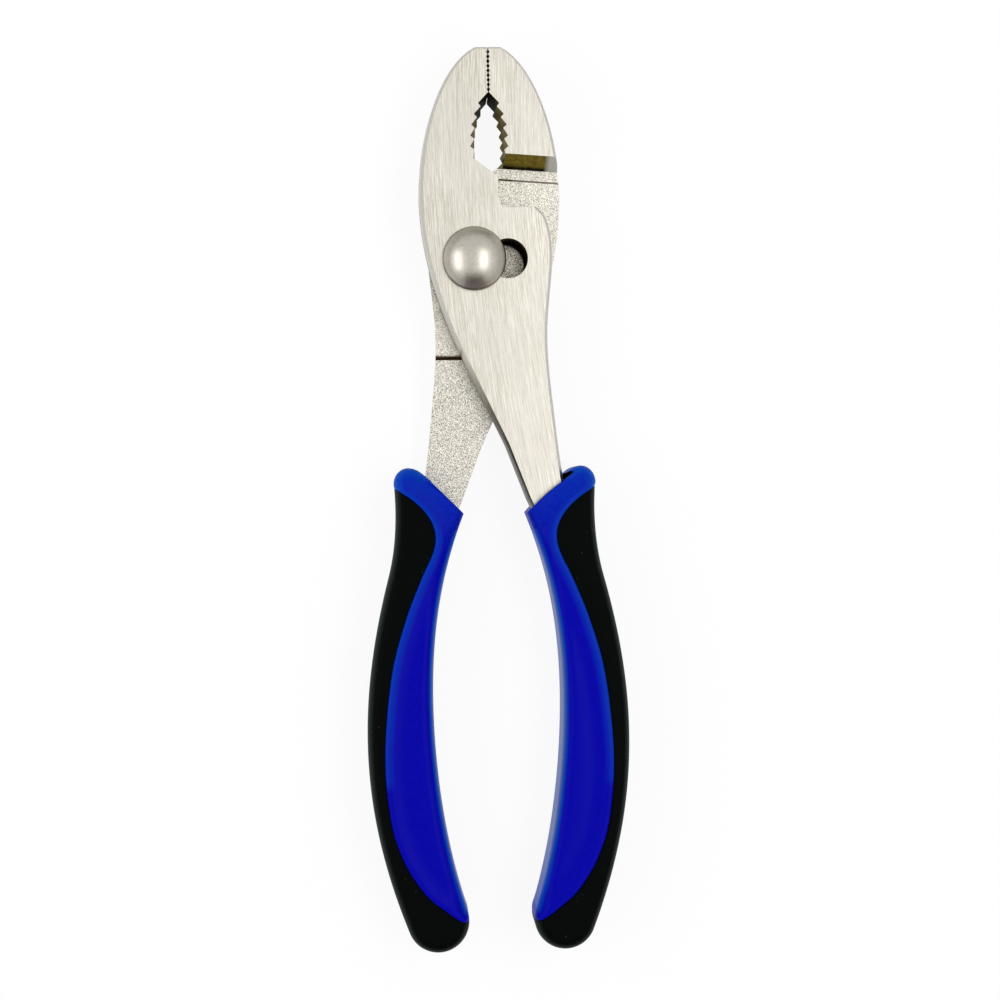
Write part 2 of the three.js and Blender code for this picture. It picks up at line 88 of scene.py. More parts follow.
def linear(hex_colour):
    """A colour written as sRGB hex, in the linear values that shaders use."""
    values = [int(hex_colour[i:i + 2], 16) / 255 for i in (1, 3, 5)]
    return (*[v / 12.92 if v <= 0.04045 else ((v + 0.055) / 1.055) ** 2.4 for v in values], 1.0)


def node(tree, kind, mode=None, **sockets):
    """Adds a node, sets its mode, and fills its sockets with values, hex colours and links.

    A socket goes by its name, or by its number after an underscore. A node given as a value is
    linked from the first of its outputs that is in use.
    """
    made = tree.nodes.new("ShaderNode" + kind)
    if mode:
        setattr(made, MODES[kind], mode)
    for name, value in sockets.items():
        socket = made.inputs[int(name[1:]) if name[0] == "_" else name.replace("_", " ")]
        if isinstance(value, bpy.types.Node):
            value = next(output for output in value.outputs if output.enabled)
        if isinstance(value, bpy.types.NodeSocket):
            tree.links.new(value, socket)
        else:
            socket.default_value = linear(value) if isinstance(value, str) else value
    return made


def empty_tree(owner):
    """The node tree of a new world or material, without nodes."""
    owner.use_nodes = True
    owner.node_tree.nodes.clear()
    return owner.node_tree


print("white in linear values:", linear("#FFFFFF"))

# %% World
TENT_LIGHT = 0.6

scene = bpy.context.scene
scene.view_settings.view_transform = "Standard"
world = bpy.data.worlds.new("white_tent")
scene.world = world
tree = empty_tree(world)
rays = node(tree, "LightPath").outputs
seen = node(tree, "Math", "MAXIMUM", _0=rays["Is Camera Ray"], _1=rays["Is Glossy Ray"])
seen = node(tree, "Math", "MAXIMUM", _0=seen, _1=rays["Is Transmission Ray"])
light = node(tree, "Background", Color="#FFFFFF", Strength=TENT_LIGHT)
plain = node(tree, "Background", Color="#FFFFFF", Strength=1.0)
sky = node(tree, "MixShader", _0=seen, _1=light, _2=plain)
node(tree, "OutputWorld", Surface=sky)
print("world:", world.name)

# %% Lamps
# A long soft box on each side of the pivot, both running along the tool.
LAMPS = {
    "left_softbox": {"place": (-420, -40, 330), "size": (230, 520), "power": 0.9},
    "right_softbox": {"place": (240, -40, 440), "size": (190, 520), "power": 0.9},
}
LAMP_AIM = Vector((4, -20, 10)) * MM

for name, lamp in LAMPS.items():
    data = bpy.data.lights.new(name, "AREA")
    data.shape = "RECTANGLE"
    data.size, data.size_y = (side * MM for side in lamp["size"])
    data.energy = lamp["power"]
    thing = bpy.data.objects.new(name, data)
    thing.location = Vector(lamp["place"]) * MM
    aim = LAMP_AIM - thing.location
    aside = aim.cross(Vector((0, 1, 0))).normalized()
    lamp_turn = Matrix((aside, aside.cross(aim).normalized(), -aim.normalized())).transposed()
    thing.rotation_euler = lamp_turn.to_euler()
    scene.collection.objects.link(thing)
print("lamps:", list(LAMPS))

# %% [markdown]
# ## Flags
# Steel shows what stands round it. In an all-white room its edges would vanish, so a product photographer
# stands dark cards, called flags, just outside the picture: here a low ring, and a taller card at the near
# end. Only mirror rays see them, so they shape the steel and cast no shadow.

# %% Flags
FLAG_RING_RADIUS, FLAG_RING_HEIGHT, FLAG_RING_SIDES = 420, 60, 48
FLAG_RING_MIDDLE = (4, -50)
NEAR_FLAG = {"distance": 460, "half_width": 260, "low": 40, "high": 400}


def card(name, dark, light):
    """Matt card that shows only in the steel, so it is written as a dim glow."""
    material = bpy.data.materials.new(name)
    made = empty_tree(material)
    where = node(made, "TexCoord").outputs["Object"]
    fibre = node(made, "TexNoise", Vector=where, Scale=4.0)
    tint = node(made, "Mix", "RGBA", _0=fibre, _6=dark, _7=light)
    dim = node(made, "Emission", Color=tint, Strength=1.0)
    node(made, "OutputMaterial", Surface=dim)
    return material


def flag(name, corners, faces, material):
    """A card on the stage, given in millimetres, that only mirror rays see."""
    mesh = bpy.data.meshes.new(name)
    mesh.from_pydata([Vector(place) * MM for place in corners], [], faces)
    mesh.materials.append(material)
    thing = bpy.data.objects.new(name, mesh)
    thing.visible_camera = thing.visible_diffuse = thing.visible_shadow = False
    scene.collection.objects.link(thing)


ring_x, ring_y = FLAG_RING_MIDDLE
ring_angles = np.linspace(0, 2 * math.pi, FLAG_RING_SIDES, endpoint=False)
ring_corners = [(ring_x + FLAG_RING_RADIUS * math.cos(a), ring_y + FLAG_RING_RADIUS * math.sin(a), level)
                for level in (0, FLAG_RING_HEIGHT) for a in ring_angles]
ring_faces = []
for i in range(FLAG_RING_SIDES):
    j = (i + 1) % FLAG_RING_SIDES
    ring_faces.append((i, j, FLAG_RING_SIDES + j, FLAG_RING_SIDES + i))
flag("flag_ring", ring_corners, ring_faces, card("grey_card", "#6E695E", "#837D70"))

near, wide = -NEAR_FLAG["distance"], NEAR_FLAG["half_width"]
near_corners = [(-wide, near, NEAR_FLAG["low"]), (wide, near, NEAR_FLAG["low"]),
                (wide, near, NEAR_FLAG["high"]), (-wide, near, NEAR_FLAG["high"])]
flag("near_flag", near_corners, [(0, 1, 2, 3)], card("brown_card", "#43301C", "#5A452E"))
print("flags: a ring", FLAG_RING_HEIGHT, "mm high and a near card")

# %% [markdown]
# ## Floor
# The tool lies on a white painted board. It could be one plain white, but then the tool would float. So the
# paint takes light and shadow as paint does, and most of what the camera and the steel see in it is plain
# white.

# %% Floor
FLOOR_SIDE = 3000 * MM
FLOOR_DROP = 0.2 * MM  # below the tool, so that no face lies in the floor
FLOOR_GLOW = 0.9  # share of plain white that the camera and the steel see in it

paint = bpy.data.materials.new("white_floor_paint")
tree = empty_tree(paint)
rays = node(tree, "LightPath").outputs
seen = node(tree, "Math", "MAXIMUM", _0=rays["Is Camera Ray"], _1=rays["Is Glossy Ray"])
where = node(tree, "TexCoord").outputs["Object"]
mottle = node(tree, "TexNoise", Vector=where, Scale=3.0)
tint = node(tree, "Mix", "RGBA", _0=mottle, _6="#FFFFFF", _7="#FCFCFC")
matt = node(tree, "BsdfDiffuse", Color=tint)
glow = node(tree, "Emission", Color="#FFFFFF", Strength=1.0)
share = node(tree, "Math", "MULTIPLY", _0=seen, _1=FLOOR_GLOW)
both = node(tree, "MixShader", _0=share, _1=matt, _2=glow)
node(tree, "OutputMaterial", Surface=both)

half = FLOOR_SIDE / 2
floor_mesh = bpy.data.meshes.new("floor")
floor_corners = [(-half, -half, 0), (half, -half, 0), (half, half, 0), (-half, half, 0)]
floor_mesh.from_pydata(floor_corners, [], [(0, 1, 2, 3)])
floor_mesh.materials.append(paint)
floor = bpy.data.objects.new("floor", floor_mesh)
floor.location.z = -FLOOR_DROP
scene.collection.objects.link(floor)
print("floor:", FLOOR_SIDE / MM, "mm square")

# %% [markdown]
# ## Steel finishes
# The levers are forged steel under bright nickel plate. Their flat faces were drawn over a belt, which
# leaves fine scratches along the tool, and the sunk faces of the joint were blasted with grit and stay
# grainy. Each finish is one material made of nodes: noise of a known size in millimetres drives its colour,
# its roughness and a little bump, and where the piece lies decides its stains and its painted shade.

# %% Helper that makes a finish
LAP_LEVEL = 7.5  # middle of the tool's thickness
CENTRELINE = 3.7  # of the jaws, to the right of the bolt


def finish(coat):
    """A material whose surface a function makes, and which has that function's name.

    The function gets the material's node tree and the place on the piece in millimetres.
    """
    material = bpy.data.materials.new(coat.__name__)
    made = empty_tree(material)
    where = node(made, "TexCoord").outputs["Object"]
    place = node(made, "VectorMath", "SCALE", Vector=where, Scale=1 / MM)
    node(made, "OutputMaterial", Surface=coat(made, place))
    print("finish:", material.name)
    return material


print("the levers meet at a level of", LAP_LEVEL, "mm")

# %% Belt-drawn nickel
def belt_drawn_nickel(made, place):
    """Bright nickel over steel, drawn over a fine belt: warm light grey with long scratches."""
    # Scratches are drawn 0.1 mm wide, coarser than real ones, so that they show, and 8 mm long.
    # The belt ran nearly along the tool at the jaws and leant over towards the handles.
    axes = node(made, "SeparateXYZ", Vector=place).outputs
    lean = node(made, "Math", "MULTIPLY_ADD", _0=axes[1], _1=-0.0011, _2=0.08)
    aside = node(made, "Math", "MULTIPLY_ADD", _0=lean, _1=axes[1], _2=axes[0])
    belt = node(made, "CombineXYZ", X=aside, Y=axes[1], Z=axes[2])
    long_way = node(made, "Mapping", Vector=belt, Scale=(9.0, 0.12, 0.6))
    scratch = node(made, "TexNoise", Vector=long_way, Scale=1.0, Detail=6.0, Roughness=0.7)
    fine_way = node(made, "Mapping", Vector=belt, Scale=(20.0, 0.4, 1.0))
    fine = node(made, "TexNoise", Vector=fine_way, Scale=1.0, Detail=3.0, Roughness=0.6)
    cloud = node(made, "TexNoise", Vector=place, Scale=0.06, Detail=2.0)
    mark = node(made, "Mix", _0=0.4, _2=scratch, _3=fine)
    shade = node(made, "MapRange", Value=mark, From_Min=0.41, From_Max=0.59)
    colour = node(made, "Mix", "RGBA", _0=shade, _6="#AAA493", _7="#EFEBE1")
    patch = node(made, "MapRange", Value=cloud, From_Min=0.35, From_Max=0.65, To_Max=0.35)
    colour = node(made, "Mix", "RGBA", _0=patch, _6=colour, _7="#D2CFC6")
    rough = node(made, "MapRange", Value=mark, From_Min=0.3, From_Max=0.7, To_Min=0.40, To_Max=0.28)
    bump = node(made, "Bump", Strength=0.25, Distance=0.02 * MM, Height=mark)
    return node(made, "BsdfPrincipled", Base_Color=colour, Metallic=1.0, Roughness=rough, Normal=bump)


DRAWN = finish(belt_drawn_nickel)

# %% Grit-blasted nickel
FREE_SEAT = {"middle": (7.4, 0, 7.35), "radius": 4.7}  # of the slot, seen on the pad under it
UNSHADED_FLOOR = {"middle": (6.75, -0.85, 7.35), "radius": 4.3}  # the part of that seat that the painted shadow leaves free
PAD_END = 21.1  # lower end of the blasted pads, below the pivot
PAD_TO_TANG = (-16.0, -30.0)  # along the tool, from the pad's blast to the tang's darker one


def grit_blasted_nickel(made, place):
    """The same plate over a face blasted with grit: grainy, with bright and dark specks."""
    # Grit marks of 0.2 mm, with finer ones of 0.1 mm between them.
    grains = node(made, "TexNoise", Vector=place, Scale=4.4, Detail=4.0, Roughness=0.8)
    pits = node(made, "TexVoronoi", Vector=place, Scale=4.4)
    mark = node(made, "Mix", _0=0.25, _2=grains, _3=pits)
    shade = node(made, "MapRange", Value=mark, From_Min=0.38, From_Max=0.57)
    colour = node(made, "Mix", "RGBA", _0=shade, _6="#6E6656", _7="#E9E5DA")
    # The blast grows darker towards the tang.
    axes = node(made, "SeparateXYZ", Vector=place).outputs
    towards_tang = node(made, "MapRange", Value=axes[1], From_Min=PAD_TO_TANG[0], From_Max=PAD_TO_TANG[1])
    tang = node(made, "Mix", "RGBA", _0=shade, _6="#3F382C", _7="#E4E0D5")
    colour = node(made, "Mix", "RGBA", _0=towards_tang, _6=colour, _7=tang)
    # A dark brown line of painted shade runs along the step at the pad's lower end.
    wander = node(made, "TexNoise", Vector=place, Scale=1.1, Detail=4.0)
    line = node(made, "Math", "MULTIPLY_ADD", _0=wander, _1=0.9, _2=axes[1])
    line = node(made, "Math", "ADD", _0=line, _1=PAD_END - 0.3)
    line = node(made, "Math", "ABSOLUTE", _0=line)
    painted_step_shade = node(made, "MapRange", Value=line, From_Min=0.3, From_Max=0.55, To_Min=0.9, To_Max=0.0)
    colour = node(made, "Mix", "RGBA", _0=painted_step_shade, _6=colour, _7="#4A3218")
    # A painted shadow lies in the far end of the slot's free seat, as a crescent between two circles.
    discs = []
    for disc in (FREE_SEAT, UNSHADED_FLOOR):
        away = node(made, "VectorMath", "DISTANCE", _0=place, _1=disc["middle"])
        within = node(made, "MapRange", Value=away, From_Min=disc["radius"] - 0.15,
                      From_Max=disc["radius"] + 0.25, To_Min=1.0, To_Max=0.0)
        discs.append(within)
    seat, lighter = discs
    outside_unshaded = node(made, "Math", "SUBTRACT", _0=1.0, _1=lighter)
    painted_crescent_shadow = node(made, "Math", "MULTIPLY", _0=seat, _1=outside_unshaded)
    # Painted shade darkens the floor within the seat, most of all in the grain's low spots.
    low_spots = node(made, "MapRange", Value=shade, To_Min=1.0, To_Max=0.2)
    painted_slot_shade = node(made, "Math", "MULTIPLY", _0=seat, _1=low_spots)
    colour = node(made, "Mix", "RGBA", _0=painted_slot_shade, _6=colour, _7="#3A2C0C")
    colour = node(made, "Mix", "RGBA", _0=painted_crescent_shadow, _6=colour, _7="#0B0907")
    rough = node(made, "MapRange", Value=grains, To_Min=0.36, To_Max=0.55)
    bump = node(made, "Bump", Strength=0.4, Distance=0.06 * MM, Height=mark)
    return node(made, "BsdfPrincipled", Base_Color=colour, Metallic=1.0, Roughness=rough, Normal=bump)


BLASTED = finish(grit_blasted_nickel)

# %% Oil-stained steel
SEAT_TOP, SEAT_INNER = 23.0, 6.9  # upper and inner end of the sloping wall under the right jaw
SEAT_PALER = (16.0, 17.2)  # across that wall, from olive to pale grey
THROAT_LIGHTER = (33.0, 22.0)  # down the throat, from olive teeth to the lightest
THROAT_DARKER = (34.5, 37.0)  # up the throat, from teeth of the plain colour to the darkest


def oil_stained_steel(made, place):
    """Bare walls of the throat and the seat, brown and olive from the oil that stays in them."""
    stain = node(made, "TexNoise", Vector=place, Scale=0.9, Detail=6.0, Roughness=0.7)
    shade = node(made, "MapRange", Value=stain, From_Min=0.3, From_Max=0.7)
    colour = node(made, "Mix", "RGBA", _0=shade, _6="#4E4216", _7="#85742C")
    # A ragged dark line runs along the foot of the seat's wall.
    axes = node(made, "SeparateXYZ", Vector=place).outputs
    ragged = node(made, "Math", "MULTIPLY_ADD", _0=stain, _1=-2.6, _2=axes[2])
    foot = node(made, "MapRange", Value=ragged, From_Min=6.1, From_Max=7.0, To_Min=1.0, To_Max=0.0)
    below = node(made, "Math", "LESS_THAN", _0=axes[1], _1=SEAT_TOP)
    seat = node(made, "Math", "GREATER_THAN", _0=axes[0], _1=SEAT_INNER)
    seat = node(made, "Math", "MULTIPLY", _0=seat, _1=below)
    foot = node(made, "Math", "MULTIPLY", _0=foot, _1=seat)
    colour = node(made, "Mix", "RGBA", _0=foot, _6=colour, _7="#15100A")
    # The throat's lower teeth are lighter.
    lighter = node(made, "MapRange", Value=axes[1], From_Min=THROAT_LIGHTER[0], From_Max=THROAT_LIGHTER[1],
                 To_Max=0.7)
    throat = node(made, "Math", "SUBTRACT", _0=1.0, _1=seat)
    lighter = node(made, "Math", "MULTIPLY", _0=lighter, _1=throat)
    colour = node(made, "Mix", "RGBA", _0=lighter, _6=colour, _7="#A39C80")
    # The outer end of the seat's wall is a pale grey.
    paler_edge = node(made, "MapRange", Value=axes[0], From_Min=SEAT_PALER[0], From_Max=SEAT_PALER[1])
    colour = node(made, "Mix", "RGBA", _0=paler_edge, _6=colour, _7="#B5B2AA")
    # The throat's narrow upper end is darker, most of all on its left wall.
    left = node(made, "MapRange", Value=axes[0], From_Min=3.0, From_Max=5.5, To_Min=3.0, To_Max=0.0)
    darker_end = node(made, "Math", "MULTIPLY_ADD", _0=stain, _1=3.0, _2=axes[1])
    darker_end = node(made, "Math", "ADD", _0=darker_end, _1=left)
    darker_end = node(made, "MapRange", Value=darker_end, From_Min=THROAT_DARKER[0], From_Max=THROAT_DARKER[1])
    colour = node(made, "Mix", "RGBA", _0=darker_end, _6=colour, _7="#0E0A06")
    bump = node(made, "Bump", Strength=0.5, Distance=0.05 * MM, Height=stain)
    return node(made, "BsdfPrincipled", Base_Color=colour, Metallic=0.0, Specular_IOR_Level=0.02,
                Roughness=0.6, Normal=bump)


OILED = finish(oil_stained_steel)

# %% Painted shade for dark walls
def painted_shade_walls(made, place):
    """Painted shade for walls that lie in deep shade: a mottled brown to black."""
    dark_mottle = node(made, "TexNoise", Vector=place, Scale=1.6, Detail=6.0, Roughness=0.7)
    shade = node(made, "MapRange", Value=dark_mottle, From_Min=0.3, From_Max=0.7)
    colour = node(made, "Mix", "RGBA", _0=shade, _6="#0C0906", _7="#3A2814")
    bump = node(made, "Bump", Strength=0.5, Distance=0.05 * MM, Height=dark_mottle)
    return node(made, "BsdfPrincipled", Base_Color=colour, Metallic=0.0, Specular_IOR_Level=0.05,
                Roughness=0.5, Normal=bump)


SHADE_WALLS = finish(painted_shade_walls)

# %% Tumbled nickel
TANG_INNER = 10.6  # the tangs' inner sides are nearer to the centreline than this
TANG_DARK = (-22.0, -34.0)  # down a tang, from grey to dark


def tumbled_nickel(made, place):
    """Sides of the forging, tumbled and not drawn over the belt: grey, with painted dark reflection at the
    parting line.
    """
    dull = node(made, "TexNoise", Vector=place, Scale=2.0, Detail=6.0, Roughness=0.7)
    shade = node(made, "MapRange", Value=dull, From_Min=0.3, From_Max=0.7)
    colour = node(made, "Mix", "RGBA", _0=shade, _6="#B9B6AE", _7="#D6D3CB")
    axes = node(made, "SeparateXYZ", Vector=place).outputs
    # A painted dark reflection runs along the parting line, at the middle of the thickness.
    middle = node(made, "Math", "SUBTRACT", _0=axes[2], _1=LAP_LEVEL)
    middle = node(made, "Math", "ABSOLUTE", _0=middle)
    waist = node(made, "MapRange", Value=middle, From_Min=0.6, From_Max=2.2, To_Min=0.8, To_Max=0.0)
    colour = node(made, "Mix", "RGBA", _0=waist, _6=colour, _7="#2E2A24")
    # Painted shade makes the tangs' inner sides darkest, more so further down each tang.
    inner = node(made, "Math", "COMPARE", _0=axes[0], _1=CENTRELINE, _2=TANG_INNER)
    lower = node(made, "MapRange", Value=axes[1], From_Min=TANG_DARK[0], From_Max=TANG_DARK[1],
                 To_Max=0.85)
    dark = node(made, "Math", "MULTIPLY", _0=inner, _1=lower)
    colour = node(made, "Mix", "RGBA", _0=dark, _6=colour, _7="#3E392F")
    rough = node(made, "MapRange", Value=dull, To_Min=0.3, To_Max=0.45)
    bump = node(made, "Bump", Strength=0.3, Distance=0.03 * MM, Height=dull)
    return node(made, "BsdfPrincipled", Base_Color=colour, Metallic=1.0, Roughness=rough, Normal=bump)


TUMBLED = finish(tumbled_nickel)

# %% Shaded nickel edges
THROAT_MIDDLE, THROAT_HALF, THROAT_SIDE = 27.4, 10.0, 5.2
BELOW_FACES = 4.7  # from the lap nearly to a lever's face
LEDGE, LEDGE_HALF, LEDGE_DEPTH = 18.0, 2.0, 1.2  # step of the bearing pad, above the pivot


def shaded_nickel_edge(made, place):
    """Rounded corners of the levers, a darker grey from painted shade."""
    edge_mottle = node(made, "TexNoise", Vector=place, Scale=0.8, Detail=5.0, Roughness=0.7)
    shade = node(made, "MapRange", Value=edge_mottle, From_Min=0.35, From_Max=0.65)
    colour = node(made, "Mix", "RGBA", _0=shade, _6="#7D796E", _7="#B5B1A7")
    # The teeth's corners inside the throat are olive under oil; the ledge's corners take a grey painted
    # shade. Neither is metal.
    axes = node(made, "SeparateXYZ", Vector=place).outputs
    beside = node(made, "Math", "COMPARE", _0=axes[0], _1=CENTRELINE, _2=THROAT_SIDE)
    along = node(made, "Math", "COMPARE", _0=axes[1], _1=THROAT_MIDDLE, _2=THROAT_HALF)
    within = node(made, "Math", "COMPARE", _0=axes[2], _1=LAP_LEVEL, _2=BELOW_FACES)
    inside = node(made, "Math", "MULTIPLY", _0=beside, _1=along)
    oily = node(made, "Math", "MULTIPLY", _0=inside, _1=within)
    ledge = node(made, "Math", "COMPARE", _0=axes[1], _1=LEDGE, _2=LEDGE_HALF)
    near_lap = node(made, "Math", "COMPARE", _0=axes[2], _1=LAP_LEVEL, _2=LEDGE_DEPTH)
    matt = node(made, "Math", "MULTIPLY", _0=ledge, _1=near_lap)
    colour = node(made, "Mix", "RGBA", _0=matt, _6=colour, _7="#8F8A7E")
    colour = node(made, "Mix", "RGBA", _0=oily, _6=colour, _7="#5F5220")
    dull = node(made, "Math", "MAXIMUM", _0=matt, _1=oily)
    bare = node(made, "Math", "SUBTRACT", _0=1.0, _1=dull)
    rough = node(made, "MapRange", Value=edge_mottle, To_Min=0.3, To_Max=0.45)
    bump = node(made, "Bump", Strength=0.2, Distance=0.03 * MM, Height=edge_mottle)
    return node(made, "BsdfPrincipled", Base_Color=colour, Metallic=bare, Specular_IOR_Level=0.05,
                Roughness=rough, Normal=bump)


EDGE_SHADE = finish(shaded_nickel_edge)

# %% Satin nickel
HEAD_RADIUS = 7.0  # of the bolt


def satin_nickel(made, place):
    """Turned and tumbled steel under nickel: an even satin grey."""
    haze = node(made, "TexNoise", Vector=place, Scale=1.4, Detail=8.0, Roughness=0.65)
    shade = node(made, "MapRange", Value=haze, From_Min=0.3, From_Max=0.7)
    colour = node(made, "Mix", "RGBA", _0=shade, _6="#AFAAA0", _7="#C1BCB2")
    # Painted shadow darkens the head's edge, where it meets the lever.
    flat_place = node(made, "VectorMath", "MULTIPLY", _0=place, _1=(1, 1, 0))
    reach = node(made, "VectorMath", "LENGTH", _0=flat_place)
    shadow_reach = node(made, "Math", "MULTIPLY_ADD", _0=haze, _1=0.4, _2=reach)
    edge = node(made, "MapRange", Value=shadow_reach, From_Min=HEAD_RADIUS - 0.15, From_Max=HEAD_RADIUS + 0.15,
                To_Max=0.85)
    colour = node(made, "Mix", "RGBA", _0=edge, _6=colour, _7="#3B3024")
    rough = node(made, "MapRange", Value=haze, To_Min=0.3, To_Max=0.4)
    bump = node(made, "Bump", Strength=0.1, Distance=0.02 * MM, Height=haze)
    return node(made, "BsdfPrincipled", Base_Color=colour, Metallic=1.0, Roughness=rough, Normal=bump)


SATIN = finish(satin_nickel)

# %% [markdown]
# ## Grip finishes
# The sleeve is hard polypropylene and the skin a soft rubber. Both are deep colours that hardly mirror
# their faces, so their gloss is kept low. Their edges shine when seen at a low angle: that reflection is
# painted into their colour as a paler sheen, and their gloss rises there too. A number stored on each
# corner of the mesh says how much, and the material reads it.

# %% Blue polypropylene
COLLAR_REFLECTION = (-62.0, -44.0)  # up a grip, from clear blue to the collar's painted reflection


def moulded_blue_polypropylene(made, place):
    """Hard polypropylene, moulded in a polished tool: deep blue with soft gloss."""
    skin = node(made, "TexNoise", Vector=place, Scale=1.2, Detail=4.0, Roughness=0.6)
    shade = node(made, "MapRange", Value=skin, From_Min=0.3, From_Max=0.7)
    colour = node(made, "Mix", "RGBA", _0=shade, _6="#03039C", _7="#0505A8")
    # Painted reflection makes the collar, the seam and the inner edge greener and paler.
    axes = node(made, "SeparateXYZ", Vector=place).outputs
    blot = node(made, "Math", "MULTIPLY_ADD", _0=shade, _1=5.0, _2=axes[1])
    collar = node(made, "MapRange", Value=blot, From_Min=COLLAR_REFLECTION[0], From_Max=COLLAR_REFLECTION[1],
                  To_Max=0.4)
    painted_sheen_and_gloss = node(made, "Attribute", "painted_sheen_and_gloss").outputs["Fac"]
    painted_reflection = node(made, "MapRange", Value=painted_sheen_and_gloss, From_Min=0.0, From_Max=0.5)
    painted_reflection = node(made, "Math", "MAXIMUM", _0=painted_reflection, _1=collar)
    # Along the inner edge a greyer blue painted sheen is laid over that, and the gloss rises there.
    painted_edge_sheen_and_gloss = node(made, "MapRange", Value=painted_sheen_and_gloss, From_Min=0.5, From_Max=1.0)
    colour = node(made, "Mix", "RGBA", _0=painted_reflection, _6=colour, _7="#0545B4")
    colour = node(made, "Mix", "RGBA", _0=painted_edge_sheen_and_gloss, _6=colour, _7="#1E479E")
    rough = node(made, "MapRange", Value=skin, To_Min=0.34, To_Max=0.48)
    bump = node(made, "Bump", Strength=0.12, Distance=0.03 * MM, Height=skin)
    gloss = node(made, "MapRange", Value=painted_edge_sheen_and_gloss, To_Min=0.035, To_Max=0.34)
    return node(made, "BsdfPrincipled", Base_Color=colour, Roughness=rough, IOR=1.49,
                Specular_IOR_Level=gloss, Sheen_Weight=0.16, Sheen_Roughness=0.25, Sheen_Tint="#5FA8D0",
                Normal=bump)


BLUE = finish(moulded_blue_polypropylene)

# %% Black rubber
def black_thermoplastic_rubber(made, place):
    """Thermoplastic rubber moulded over the blue: nearly black and matt, with dust on it."""
    skin = node(made, "TexNoise", Vector=place, Scale=2.5, Detail=5.0, Roughness=0.7)
    speck = node(made, "TexVoronoi", Vector=place, Scale=0.8)
    dust = node(made, "MapRange", Value=speck, From_Min=0.06, From_Max=0.14, To_Min=1.0, To_Max=0.0)
    keep = node(made, "SeparateColor", Color=speck.outputs["Color"])
    few = node(made, "Math", "GREATER_THAN", _0=keep, _1=0.8)
    dusty = node(made, "Math", "MULTIPLY", _0=dust, _1=few)
    shade = node(made, "Mix", "RGBA", _0=skin, _6="#030404", _7="#070808")
    colour = node(made, "Mix", "RGBA", _0=dusty, _6=shade, _7="#343633")
    # The palm edge has a grey painted sheen, and its gloss rises there too.
    painted_sheen_and_gloss = node(made, "Attribute", "painted_sheen_and_gloss").outputs["Fac"]
    paler_edge = node(made, "Math", "MULTIPLY", _0=painted_sheen_and_gloss, _1=skin)
    colour = node(made, "Mix", "RGBA", _0=paler_edge, _6=colour, _7="#2A3C37")
    rough = node(made, "MapRange", Value=skin, To_Min=0.48, To_Max=0.66)
    bump = node(made, "Bump", Strength=0.25, Distance=0.04 * MM, Height=skin)
    gloss = node(made, "MapRange", Value=paler_edge, To_Min=0.02, To_Max=0.3)
    return node(made, "BsdfPrincipled", Base_Color=colour, Roughness=rough, IOR=1.5,
                Specular_IOR_Level=gloss, Sheen_Weight=0.12, Sheen_Roughness=0.22, Sheen_Tint="#9FBDB2",
                Normal=bump)


BLACK = finish(black_thermoplastic_rubber)

# %% [markdown]
# ## Levers
# A forged lever has no sharp edge left on it: belt and blast rounded every corner by a few tenths of a
# millimetre, and those thin rounds are what catches the light. The frame's solid has the true shape, so a
# copy of it is joined up, its flat faces are merged, and a Bevel modifier rounds each corner. Faces get
# their finish from where they are.

# %% Copy of a solid
SAME_PLACE = 0.002 * MM  # corners closer than this are one
FLAT_ANGLE = math.radians(0.4)  # faces that meet at less than this are one


def joined_copy(name):
    """The node's solid as a mesh with shared corners and whole flat faces."""
    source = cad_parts[name].data
    form = bmesh.new()
    corners = [form.verts.new(v.co) for v in source.vertices]
    for face in source.polygons:
        form.faces.new([corners[i] for i in face.vertices])
    bmesh.ops.remove_doubles(form, verts=form.verts, dist=SAME_PLACE)
    bmesh.ops.dissolve_limit(form, angle_limit=FLAT_ANGLE, verts=form.verts, edges=form.edges)
    return form


def show(form, name, body, node_name, materials):
    """Makes the piece, rides it on its body and lets it stand for its node."""
    mesh = bpy.data.meshes.new(name)
    form.to_mesh(mesh)
    form.free()
    mesh.shade_smooth()
    for material in materials:
        mesh.materials.append(material)
    thing = bpy.data.objects.new(name, mesh)
    scene.collection.objects.link(thing)
    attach(thing, body)
    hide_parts(node_name)
    return thing


def round_corners(thing, width, steps=3, angle=35, finish_index=-1):
    """A Bevel modifier on sharp corners, then normals that keep the flat faces flat."""
    bevel = thing.modifiers.new("rounded corners", "BEVEL")
    bevel.width = width * MM
    bevel.segments = steps
    bevel.limit_method = "ANGLE"
    bevel.angle_limit = math.radians(angle)
    bevel.miter_outer = "MITER_ARC"
    bevel.material = finish_index
    bevel.use_clamp_overlap = True
    flat = thing.modifiers.new("flat faces", "WEIGHTED_NORMAL")
    flat.weight = 80
    flat.keep_sharp = False


print("front lever's solid:", len(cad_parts["front_lever"].data.polygons), "faces")

# %% Both levers
FACE_LEVEL = 5.0  # from the lap to a lever's flat face
SLOT_RADIUS = 4.4
THROAT_LOW, THROAT_HIGH = 17.5, 37.2
JAW_START = 15  # above the pivot
CORNER_ROUND = 0.22
STEEP, LEANING, PAD_TILT, FLAT = 0.3, 0.5, 0.4, 0.75  # shares of a face's normal along an axis
BACK_MARGIN = 0.6  # faces further than this from a lever's back are the sunk ones
LEVER_FINISHES = (DRAWN, BLASTED, OILED, SHADE_WALLS, TUMBLED, EDGE_SHADE)


